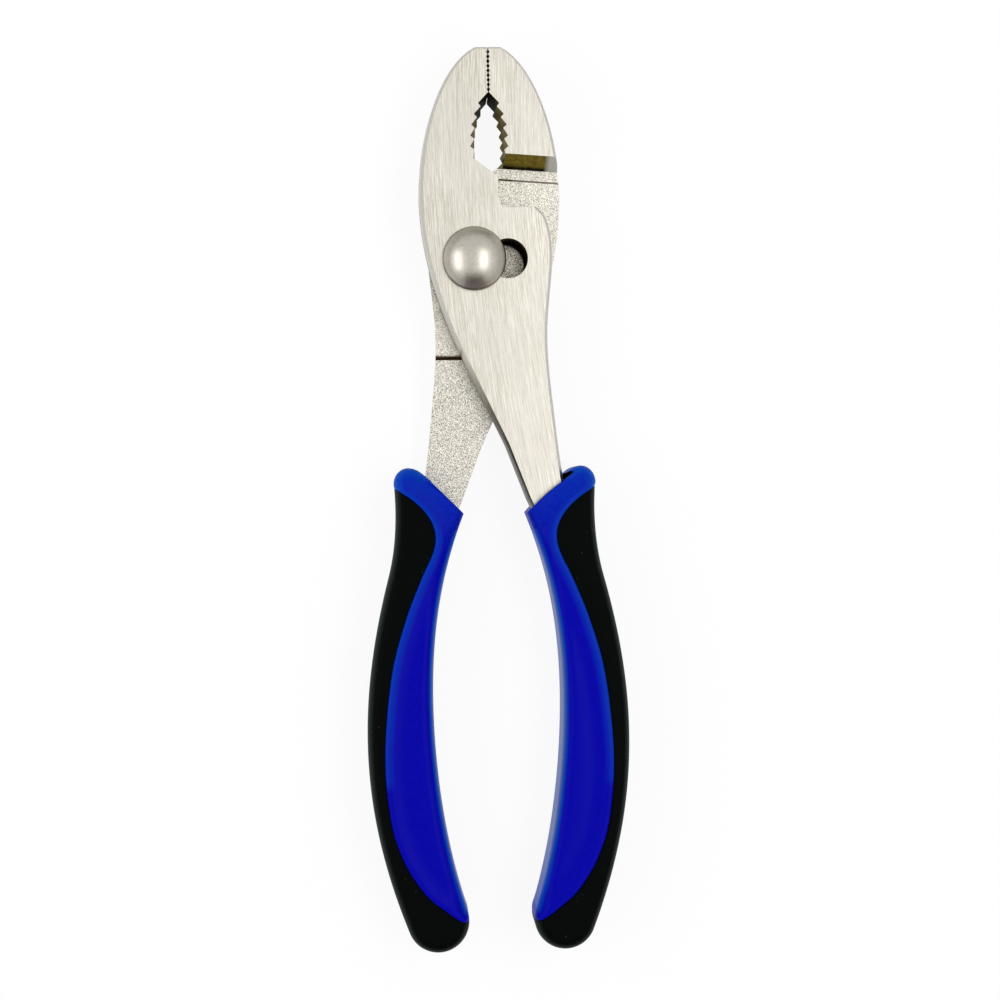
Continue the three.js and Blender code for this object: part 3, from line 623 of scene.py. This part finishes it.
def lever_finish(face, facing):
    """A face's finish. The lever's own face looks up where facing is 1, down where it is -1."""
    centre = face.calc_center_median() / MM
    level = (centre.z - LAP_LEVEL) * facing
    at_lap = abs(level) < 1
    upright = abs(face.normal.z) < STEEP
    from_slot = math.hypot(max(abs(centre.x - CENTRELINE) - CENTRELINE, 0), centre.y)
    in_throat = abs(centre.x - CENTRELINE) < THROAT_SIDE and THROAT_LOW < centre.y < THROAT_HIGH
    at_pad_end = at_lap and PAD_END - 0.2 < -centre.y < PAD_END + 1
    on_ledge = at_lap and abs(centre.y - LEDGE) < LEDGE_HALF
    # Walls of the slot and the step at the pad's lower end lie in shade and take the finish of painted
    # shade.
    if upright and from_slot < SLOT_RADIUS + 0.1:
        return SHADE_WALLS
    if upright and in_throat:
        return OILED
    if centre.y > JAW_START and face.normal.y < -LEANING:
        return OILED
    if at_pad_end and face.normal.y < -STEEP:
        return SHADE_WALLS
    if on_ledge and face.normal.y > STEEP:
        return EDGE_SHADE
    if face.normal.z * facing < -PAD_TILT and level > BACK_MARGIN - FACE_LEVEL:
        return BLASTED
    return TUMBLED if abs(face.normal.z) < FLAT else DRAWN


for name, body, facing in (("front_lever", "front_half", 1), ("rear_lever", "rear_half", -1)):
    form = joined_copy(name)
    form.normal_update()
    for face in form.faces:
        face.material_index = LEVER_FINISHES.index(lever_finish(face, facing))
    lever = show(form, f"{name}_polished", body, name, LEVER_FINISHES)
    round_corners(lever, CORNER_ROUND, finish_index=LEVER_FINISHES.index(EDGE_SHADE))
    print(lever.name, len(lever.data.polygons), "faces")

# %% [markdown]
# ## Pivot bolt and nut
# The bolt is turned from bar: a domed head, two flats that pass the narrow waist of the slot, a round stem
# and a thread. Every level of it is a ring whose radius may change around the axis, so one stack of rings
# makes it all.

# %% Stack of rings
def stacked_rings(rings, angles):
    """A closed mesh through rings of (level, radius at each angle)."""
    form = bmesh.new()
    loops = []
    for level, radii in rings:
        all_radii = np.broadcast_to(radii, angles.shape)
        loops.append([form.verts.new(Vector((r * math.cos(a), r * math.sin(a), level)) * MM)
                      for r, a in zip(all_radii, angles)])
    for low, high in zip(loops, loops[1:]):
        for i in range(len(angles)):
            j = (i + 1) % len(angles)
            form.faces.new((low[i], low[j], high[j], high[i]))
    form.faces.new(loops[0][::-1])
    form.faces.new(loops[-1])
    return form


RING = 120  # corners in a ring
angles = np.linspace(0, 2 * math.pi, RING, endpoint=False)
print("rings of", len(angles), "corners")

# %% Bolt
HEAD_SEAT, HEAD_HEIGHT, HEAD_RIM, HEAD_CHAMFER = 12.7, 4.6, 0.7, 0.15
DOME_RINGS, DOME_INSET, DOME_TOP = 40, 0.12, 0.01  # inset in mm from the rim, top in radians from the axis
BODY_RADIUS, FLAT_HALF = 4.1, 2.1
NECK_RADIUS, NECK_HEIGHT, STEM_RADIUS, STEM_CHAMFER = 1.4, 0.2, 3.5, 0.1
THREAD_RADIUS, THREAD_PITCH, THREAD_DEPTH, THREAD_TOP = 2.9, 0.8, 0.35, 2.5
THREAD_STEP, THREAD_MARGIN, END_CHAMFER = 0.08, 0.05, 0.7
BOLT_SHARP = math.radians(40)

end_radius = THREAD_RADIUS - END_CHAMFER
rings = [(0.0, end_radius)]
for level in np.arange(THREAD_MARGIN, THREAD_TOP - THREAD_MARGIN, THREAD_STEP):
    phase = (level / THREAD_PITCH - angles / (2 * math.pi)) % 1
    crest = THREAD_RADIUS - THREAD_DEPTH * abs(2 * phase - 1)
    rings.append((level, np.minimum(crest, end_radius + level)))
rings += [(THREAD_TOP, THREAD_RADIUS), (THREAD_TOP, STEM_RADIUS - STEM_CHAMFER)]
rings += [(THREAD_TOP + STEM_CHAMFER, STEM_RADIUS), (LAP_LEVEL - STEM_CHAMFER, STEM_RADIUS)]
rings += [(LAP_LEVEL, STEM_RADIUS - STEM_CHAMFER), (LAP_LEVEL, NECK_RADIUS)]
neck_top = LAP_LEVEL + NECK_HEIGHT
flats = np.minimum(BODY_RADIUS, FLAT_HALF / np.maximum(np.abs(np.sin(angles)), 1e-6))
rings += [(neck_top, NECK_RADIUS), (neck_top, flats), (HEAD_SEAT, flats)]
rings += [(HEAD_SEAT, HEAD_RADIUS - HEAD_CHAMFER), (HEAD_SEAT + HEAD_CHAMFER, HEAD_RADIUS)]
rings += [(HEAD_SEAT + HEAD_RIM - HEAD_CHAMFER, HEAD_RADIUS)]
dome = HEAD_HEIGHT - HEAD_RIM
ball = (HEAD_RADIUS ** 2 + dome ** 2) / (2 * dome)
for lean in np.linspace(math.asin((HEAD_RADIUS - DOME_INSET) / ball), DOME_TOP, DOME_RINGS):
    rings.append((HEAD_SEAT + HEAD_HEIGHT - ball + ball * math.cos(lean), ball * math.sin(lean)))
bolt = show(stacked_rings(rings, angles), "pivot_bolt_turned", "pivot", "pivot_bolt", (SATIN,))
bolt.data.set_sharp_from_angle(angle=BOLT_SHARP)
print("bolt:", len(bolt.data.polygons), "faces")

# %% Nut
NUT_ROUND = 0.15

nut = show(joined_copy("pivot_nut"), "pivot_nut_chamfered", "pivot", "pivot_nut", (SATIN,))
round_corners(nut, NUT_ROUND, steps=2, angle=20)
print("nut:", len(nut.data.polygons), "faces")

# %% [markdown]
# ## Grips
# Each grip is a hard blue sleeve, pushed over the tang, with a soft black skin moulded round its palm side
# and butt. Seen from above it follows one arc. A modeller could push it about by hand, but here its
# outline, the seam between the two materials and the roll of its edges are known sizes, so it is woven row
# by row: every row runs from the inner edge over the blue to the seam, over the black to the outer edge,
# and back underneath.

# %% Grip outline
# Half widths go with lengths along the arc, from the mouth to the butt.
ARC_RADIUS, BELLY, BELLY_OFFSET = 130, 102, 21.55
THICKNESS, EDGE_WIDTH, EDGE_DEPTH = 15, 2.8, 3.2
HALF_WIDTHS = [(53, 5.8), (43, 5.8), (27, 6.15), (0, 7.3), (-20, 7.5), (-44.5, 6.8)]
BUTT, BUTT_RADIUS = HALF_WIDTHS[-1]
FLARE, FLARE_START, FLARE_END = 4.8, 30.6, 49.2
WIDTH_POINTS, SEAM_POINTS, EDGE_POINTS, RIM_POINTS, BUTT_POINTS = 200, 1200, 600, 400, 60
RIM_INNER = (49.4, -5.5)  # the mouth's inner corner, along and outside the arc
LIP = [(15.8, -47.2), (17.2, -46.25), (19.0, -45.8), (20.4, -46.1), (21.45, -46.95), (22.1, -48.1),
       (22.3, -49.5)]  # across the collar's outer lip, from the mouth to its outer side
SEAM = [(49.3, 13), (48.9, 9.5), (48.2, 6.4), (47.1, 3.4), (45.4, 0.7), (43, -1.2), (40, -2),
        (36.6, -1.8), (32.9, -1.1), (22.7, 0.6), (10.2, 2.3), (-6.8, 3.7), (-20.4, 4.1), (-29.5, 3.1),
        (-37.4, 0.6), (-42.7, -2.6), (-45.3, -4.4), (-46.6, -5.6), (-46.6, -6.8),
        (-46.2, -9)]  # along and outside the arc, from the collar's outer side to the butt


def on_arc(along, outside=0.0):
    """A place on the grip in plan, from its length along the arc and its distance outside it."""
    along, outside = np.broadcast_arrays(np.asarray(along, float), np.asarray(outside, float))
    reach = ARC_RADIUS + outside
    turn = along / ARC_RADIUS
    return np.stack([BELLY_OFFSET - ARC_RADIUS + reach * np.cos(turn), reach * np.sin(turn) - BELLY], -1)


def along_arc(places):
    """The length along the arc and the distance outside it of places in plan."""
    x, y = places[:, 0] - BELLY_OFFSET + ARC_RADIUS, places[:, 1] + BELLY
    return np.arctan2(y, x) * ARC_RADIUS, np.hypot(x, y) - ARC_RADIUS


def spline(points, count):
    """A smooth line through points."""
    points = np.asarray(points, float)
    t = np.linspace(0, len(points) - 1, count)
    i = np.minimum(t.astype(int), len(points) - 2)
    w = (t - i)[:, None]
    a, b, c, d = (points[np.clip(i + step, 0, len(points) - 1)] for step in (-1, 0, 1, 2))
    m, n = (c - a) / 2, (d - b) / 2
    return (2 * b - 2 * c + m + n) * w ** 3 + (3 * c - 3 * b - 2 * m - n) * w ** 2 + m * w + b


width_line = spline(HALF_WIDTHS, WIDTH_POINTS)[::-1]


def inner_side(along):
    """Places on the grip's inner edge."""
    return on_arc(along, -np.interp(along, *width_line.T))


def outer_side(along):
    """Places on the grip's outer edge, which flares towards the collar."""
    swell = FLARE * (np.maximum(along - FLARE_START, 0) / (FLARE_END - FLARE_START)) ** 2
    return on_arc(along, np.interp(along, *width_line.T) + swell)


def spread(path, count, power=1.0):
    """Places at even lengths along a path, or closer together at its start."""
    steps = np.r_[0, np.cumsum(np.linalg.norm(np.diff(path, axis=0), axis=1))]
    wanted = steps[-1] * np.linspace(0, 1, count) ** power
    return np.stack([np.interp(wanted, steps, path[:, i]) for i in (0, 1)], -1)


print("grip's width at the belly:", 2 * HALF_WIDTHS[3][1], "mm")

# %% Rim and seam
RIM_RANGE = (52, 40)  # along the arc, where the mouth's rim meets the inner edge

rim_out, rim_in = np.array(LIP[0]), on_arc(*RIM_INNER)
rim_way = (rim_out - rim_in) / np.linalg.norm(rim_out - rim_in)
rim_normal = np.array([-rim_way[1], rim_way[0]])

sides = np.linspace(*RIM_RANGE, RIM_POINTS)
corner = sides[np.argmin(np.abs((inner_side(sides) - rim_in) @ rim_normal))]
seam = spline([on_arc(*place) for place in SEAM], SEAM_POINTS)
seam_along, seam_outside = along_arc(seam)
outer_now = along_arc(outer_side(seam_along))[1]
inner_now = along_arc(inner_side(seam_along))[1]
in_butt = np.linalg.norm(seam - on_arc(BUTT), axis=1) < BUTT_RADIUS
inside = (seam_outside < outer_now) & (seam_outside > inner_now) & (seam_along > BUTT) | in_butt
first, last = np.flatnonzero(inside)[[0, -1]]
seam, seam_along = seam[first:last + 1], seam_along[first:last + 1]
collar_edge = spline([*LIP, seam[0]], WIDTH_POINTS)
print("seam's length:", round(np.linalg.norm(np.diff(seam, axis=0), axis=1).sum(), 1), "mm")

# %% Rows from the inner edge to the seam and the outer edge
HOOK, HEEL = 38, -38  # rows between these two places run straight across the arc
COLLAR_END = 45.5  # inner end of the collar's last row
CLOSER = 1.6  # the collar's rows lie closer together at the mouth by this power
SIDE_POINTS = 40
ROWS = {"collar": 26, "hook": 40, "palm": 130, "butt": 56}

butt_turn = np.linspace(0, -math.pi, BUTT_POINTS) + BUTT / ARC_RADIUS
butt_arc = on_arc(BUTT) + BUTT_RADIUS * np.stack([np.cos(butt_turn), np.sin(butt_turn)], -1)
heel_out = outer_side(np.linspace(HEEL, BUTT, SIDE_POINTS))
heel_in = inner_side(np.linspace(BUTT, HEEL, SIDE_POINTS))
heel_edge = spread(np.vstack([heel_out[:-1], butt_arc, heel_in[1:]]), EDGE_POINTS)
leave = np.argmin(np.linalg.norm(heel_edge - seam[-1], axis=1))
down = np.linspace(HOOK, HEEL, ROWS["palm"])
level_seam = np.stack([np.interp(down[::-1], seam_along[::-1], seam[::-1, i])[::-1] for i in (0, 1)], -1)
before_hook = np.flatnonzero(seam_along > HOOK)[-1] + 1
after_heel = np.flatnonzero((seam_along < HEEL) & (np.arange(len(seam)) > before_hook))[0]
SEAM_ROWS = np.vstack([
    spread(collar_edge, ROWS["collar"], CLOSER)[:-1],
    spread(np.vstack([seam[:before_hook], level_seam[:1]]), ROWS["hook"])[:-1],
    level_seam[:-1],
    spread(np.vstack([level_seam[-1:], seam[after_heel:]]), ROWS["butt"]),
])
INNER_ROWS = np.vstack([
    spread(inner_side(np.linspace(corner, COLLAR_END, SIDE_POINTS)), ROWS["collar"], CLOSER)[:-1],
    spread(inner_side(np.linspace(COLLAR_END, HOOK, SIDE_POINTS)), ROWS["hook"])[:-1],
    inner_side(down)[:-1],
    spread(np.vstack([heel_edge[:leave:-1], seam[-1:]]), ROWS["butt"]),
])
hook_out = outer_side(np.linspace(seam_along[0], HOOK, SIDE_POINTS))
OUTER_ROWS = np.vstack([
    spread(collar_edge, ROWS["collar"], CLOSER)[:-1],
    spread(np.vstack([seam[:1], hook_out[1:]]), ROWS["hook"])[:-1],
    outer_side(down)[:-1],
    spread(np.vstack([heel_edge[:leave], seam[-1:]]), ROWS["butt"]),
])
OUTLINE = np.vstack([OUTER_ROWS, INNER_ROWS[::-1]])
print("rows along a grip:", len(SEAM_ROWS))


# %% Levels of the grip's faces
def distance(places, path):
    """Shortest distance of each place to a path."""
    best = np.full(places.shape[:-1], 1e9)
    for a, b in zip(path, path[1:]):
        way = b - a
        share = np.clip(((places - a) @ way) / max(way @ way, 1e-12), 0, 1)
        best = np.minimum(best, np.linalg.norm(places - a - share[..., None] * way, axis=-1))
    return best


def roll(from_edge, width, depth):
    """How far a rounded edge drops at some distance from it."""
    share = 1 - np.clip(from_edge / width, 0, 1)
    return depth * (1 - np.sqrt(1 - share ** 2))


def hump(from_line, place, width):
    """A smooth hump along a line, one unit high, at some distance from it."""
    return np.exp(-((from_line - place) / width) ** 2)


def across(start, end, columns):
    """Rows of places from one edge to another, closer together at both."""
    share = (1 - np.cos(np.linspace(0, math.pi, columns))) / 2
    return start[:, None] + share[:, None] * (end - start)[:, None]


def set_in(start, end, depth):
    """Places moved in from one edge towards another by a depth, or nearly to it where it is closer."""
    way = start - end
    length = np.maximum(np.linalg.norm(way, axis=1, keepdims=True), 1e-9)
    return end + way / length * np.minimum(depth, 0.98 * length)


print("edges drop", EDGE_DEPTH, "mm over", EDGE_WIDTH, "mm")

# %% Woven shells
BLUE_COLUMNS, SKIN_COLUMNS, INNER_COLUMNS = 56, 40, 14
SKIN_WALL, SEAM_GAP = 1.6, 0.1
SEAM_ROUND, RIM_ROUND = 0.35, 0.5
RIM_TRIM = [(9.6, -53.4), (11.5, -51.7), (13.8, -49.95), (16.3, -48.15), (17.4, -47.2), (16.8, -46.95),
            (15.7, -47.45), (14.5, -47.4), (9, -52.6)]  # off the front face, so that its rim runs flatter
RIDGE, RIDGE_LINE = 0.35, (1.0, 1.0)  # height in the blue face, its distance from the seam and its width
VALLEY, VALLEY_LINE = 0.3, (4.2, 1.8)
SKIN_SINK = 0.3  # the black face lies this much below the grip's own level


def face_level(places, inset=0.0):
    """Height of a grip's face over its middle, or of a layer set in from it."""
    from_edge = np.maximum(distance(places, OUTLINE) - inset, 0)
    return THICKNESS / 2 - inset - roll(from_edge, EDGE_WIDTH, EDGE_DEPTH)


def weave(layers):
    """A closed mesh from loops, each given as front layers of (places, levels) that the back mirrors."""
    front = np.concatenate([np.concatenate([p, z[..., None]], -1) for p, z in layers], axis=1)
    back = front[:, ::-1] * np.array([1, 1, -1])
    loops = np.concatenate([front, back], axis=1)
    rows, count = loops.shape[:2]
    form = bmesh.new()
    corners = [[form.verts.new(place * MM) for place in row] for row in loops]
    for a, b in zip(corners, corners[1:]):
        for i in range(count):
            j = (i + 1) % count
            form.faces.new((a[i], b[i], b[j], a[j]))
    first_row = corners[0]
    for i in range(count // 2 - 1):
        form.faces.new((first_row[i], first_row[i + 1], first_row[count - 2 - i], first_row[count - 1 - i]))
    bmesh.ops.remove_doubles(form, verts=form.verts, dist=SAME_PLACE)
    bmesh.ops.dissolve_degenerate(form, edges=form.edges, dist=SAME_PLACE / 2)
    bmesh.ops.recalc_face_normals(form, faces=form.faces)
    return form


def blue_shell():
    """The sleeve as a solid moulding: its blue face, and the core under the black skin."""
    places = across(INNER_ROWS, SEAM_ROWS, BLUE_COLUMNS)
    from_rim = np.minimum(np.abs((places - rim_in) @ rim_normal), distance(places, np.array(RIM_TRIM[:5])))
    from_seam = distance(places, seam)
    levels = face_level(places) - roll(from_rim, RIM_ROUND, RIM_ROUND)
    levels -= roll(from_seam, SEAM_ROUND, SEAM_ROUND)
    levels += RIDGE * (hump(from_seam, *RIDGE_LINE) - 1) - VALLEY * hump(from_seam, *VALLEY_LINE)
    depth = SKIN_WALL + SEAM_GAP
    core = across(SEAM_ROWS, set_in(SEAM_ROWS, OUTER_ROWS, depth), INNER_COLUMNS)
    return weave([(places, levels), (core, face_level(core, depth))])


def skin_shell():
    """The black skin, with its outer face and the lining that lies on the core."""
    start = ROWS["collar"] - 1
    edge, rim = SEAM_ROWS[start:], OUTER_ROWS[start:]
    edge = set_in(rim, edge, SEAM_GAP)
    places = across(edge, rim, SKIN_COLUMNS)
    from_seam = distance(places, seam)
    from_edge = np.maximum(from_seam - SEAM_GAP, 0)
    levels = face_level(places) - roll(from_edge, SEAM_ROUND, SEAM_ROUND) - SKIN_SINK
    lining = across(set_in(edge, rim, SKIN_WALL), edge, INNER_COLUMNS)
    return weave([(lining, face_level(lining, SKIN_WALL)), (places, levels)])


print("skin:", SKIN_WALL, "mm thick")

# %% [markdown]
# ## Pocket for the tang
# The sleeve was pushed over the steel, so it has a pocket of the tang's own shape, a little larger. The
# mouth is cut lower where the tang comes out, and beside the tang a small gap stays open. These are cuts,
# so Boolean modifiers make them: the copy of the lever, grown by the fit, and three upright blocks are
# taken out of the woven sleeve.

# %% Pocket for the tang
FIT = 0.3
TANG_TOP, RELIEF_LOW, RELIEF_HIGH = -42, 0.65, 5.3
RELIEF = [(59, 0), (45, 0), (45, 4.1), (59, 6.8)]  # open gap beside the tang's outer edge
# Open gap at the mouth's outer corner, in plan.
RIM_HOLE = [(15.2, -48.95), (16.25, -48.2), (17.2, -47.3), (16.75, -47.05), (15.75, -47.52), (15.2, -48.0)]
HOLE_LOW, TRIM_HIGH = -5, 9


def tang_cutter(lever_name, to_half):
    """The part of a lever that is inside the grip, grown by the fit."""
    form = joined_copy(lever_name)
    form.transform(to_half)
    plane = {"plane_co": (0, TANG_TOP * MM, 0), "plane_no": (0, 1, 0)}
    everything = form.verts[:] + form.edges[:] + form.faces[:]
    bmesh.ops.bisect_plane(form, geom=everything, clear_outer=True, **plane)
    bmesh.ops.holes_fill(form, edges=[e for e in form.edges if e.is_boundary])
    bmesh.ops.recalc_face_normals(form, faces=form.faces)
    form.normal_update()
    moves = [(v, v.normal * v.calc_shell_factor() * FIT * MM) for v in form.verts]
    for corner_point, move in moves:
        corner_point.co += move
    return form


def prism(outline, low, high):
    """An upright block over an outline in plan, between two levels."""
    form = bmesh.new()
    rings = [[form.verts.new((*place, level)) for place in np.asarray(outline) * MM]
             for level in (low * MM, high * MM)]
    form.faces.new(rings[0][::-1])
    form.faces.new(rings[1])
    for i in range(len(outline)):
        j = (i + 1) % len(outline)
        form.faces.new((rings[0][i], rings[0][j], rings[1][j], rings[1][i]))
    bmesh.ops.recalc_face_normals(form, faces=form.faces)
    return form


def carved(form, cutters):
    """The form with cutters taken out of it by Boolean modifiers."""
    things = []
    for part in [form, *cutters]:
        mesh = bpy.data.meshes.new("carving")
        part.to_mesh(mesh)
        part.free()
        things.append(bpy.data.objects.new("carving", mesh))
        scene.collection.objects.link(things[-1])
    for cutter in things[1:]:
        boolean = things[0].modifiers.new("carve", "BOOLEAN")
        boolean.operation = "DIFFERENCE"
        boolean.solver = "EXACT"
        boolean.object = cutter
    bpy.context.view_layer.update()
    result = bmesh.new()
    result.from_object(things[0], bpy.context.evaluated_depsgraph_get())
    for thing in things:
        bpy.data.meshes.remove(thing.data)
    return result


print("fit round the tang:", FIT, "mm")

# %% [markdown]
# ## Painted shade and sheen
# The cut walls at the mouth lie in shade, so they take the finish of painted shade. The sheen on the
# edges could be painted by hand. Here each corner of the mesh gets a number from its distance to the
# edge in question, which every new copy of the grip then has in the same place.

# %% Painted shade and sheen
ON_WALL = 0.04  # a face's middle is this close to the wall that it belongs to
WALL_TILT, FLOOR_TILT = 0.5, 0.9  # most of a wall's normal along z, and least of a floor's
SHEEN_LEVEL, SHEEN_RISE = 2.0, 1.5  # over the grip's middle, where the painted sheen sets in and how it rises
SHEEN_LEAD, SHEEN_FADE = 22.0, 40.0  # along the tool, at the start of a line and at its far end
# Lines of painted sheen along some rows' ends, each with its reach, its strength, its start and its far
# end.
BLUE_SHEEN_LINES = [(INNER_ROWS[30:-16], 1.15, 1.3, -52, -160),
              (SEAM_ROWS[24:150], 2.2, 0.3, 0, -140),
              (collar_edge, 3.0, 0.6, 0, -200)]
BLACK_SHEEN_LINES = [(OUTER_ROWS[26:], 1.4, 0.8, 0, -250)]


def paint_shade_on_cut_walls(form):
    """Gives the cut walls at the mouth, which lie in shade, the second finish: painted shade."""
    form.normal_update()
    centres = np.array([face.calc_center_median() for face in form.faces]) / MM
    cuts = [np.array([*cut, cut[0]]) for cut in (RIM_TRIM, RIM_HOLE)]
    off_walls = np.minimum(*(distance(centres[:, :2], cut) for cut in cuts))
    for face, off_wall, centre in zip(form.faces, off_walls, centres):
        floor_of_hole = abs(centre[2] - HOLE_LOW) < ON_WALL and abs(face.normal.z) > FLOOR_TILT
        wall = off_wall < ON_WALL and abs(face.normal.z) < WALL_TILT and centre[2] > HOLE_LOW
        face.material_index = 1 if wall or floor_of_hole else 0


def painted_sheen_and_gloss(form, lines):
    """Marks how near a form's corners are to the lines where sheen is painted and gloss rises, on both
    faces.
    """
    layer = form.verts.layers.float.new("painted_sheen_and_gloss")
    places = np.array([v.co for v in form.verts]) / MM
    on_face = np.clip((np.abs(places[:, 2]) - SHEEN_LEVEL) / SHEEN_RISE, 0, 1)
    most = np.zeros(len(places))
    for line, reach, strength, start, far_end in lines:
        fade = np.clip((places[:, 1] - far_end) / SHEEN_FADE, 0, 1)
        fade *= np.clip((start - places[:, 1]) / SHEEN_LEAD, 0, 1)
        nearness = np.clip(1 - distance(places[:, :2], line) / reach, 0, 1)
        most = np.maximum(most, fade * strength * nearness)
    for corner_point, value in zip(form.verts, np.minimum(most, 1) * on_face):
        corner_point[layer] = value


print("lines of bloom:", len(BLUE_SHEEN_LINES + BLACK_SHEEN_LINES))

# %% [markdown]
# ## Both grips
# Both grips are the same moulding. Each is woven about the tool's centreline and then moved to its place:
# the right one as it is, and the left one turned over, as its lever is.

# %% Both grips
RIGHT = Matrix.Translation(Vector((CENTRELINE, 0, LAP_LEVEL)) * MM)
LEFT = RIGHT @ Matrix.Rotation(math.pi, 4, "Y")
GRIP_SHARP = math.radians(50)

for side, body, lever_name, place in (("right", "front_half", "front_lever", RIGHT),
                                      ("left", "rear_half", "rear_lever", LEFT)):
    cutters = [tang_cutter(lever_name, place.inverted()),
               prism([on_arc(*corner_place) for corner_place in RELIEF], RELIEF_LOW, RELIEF_HIGH),
               prism(RIM_TRIM, RELIEF_LOW, TRIM_HIGH), prism(RIM_HOLE, HOLE_LOW, TRIM_HIGH)]
    sleeve = carved(blue_shell(), cutters)
    paint_shade_on_cut_walls(sleeve)
    painted_sheen_and_gloss(sleeve, BLUE_SHEEN_LINES)
    skin = skin_shell()
    painted_sheen_and_gloss(skin, BLACK_SHEEN_LINES)
    for form, name, slot, finishes in ((sleeve, "grip_sleeve", "blue_plastic", (BLUE, SHADE_WALLS)),
                                       (skin, "grip_overmould", "black_rubber", (BLACK,))):
        form.transform(place)
        piece = show(form, f"{side}_{name}_moulded", body, f"{side}_{name}", finishes)
        piece.data.set_sharp_from_angle(angle=GRIP_SHARP)
        print(piece.name, len(piece.data.polygons), "faces")
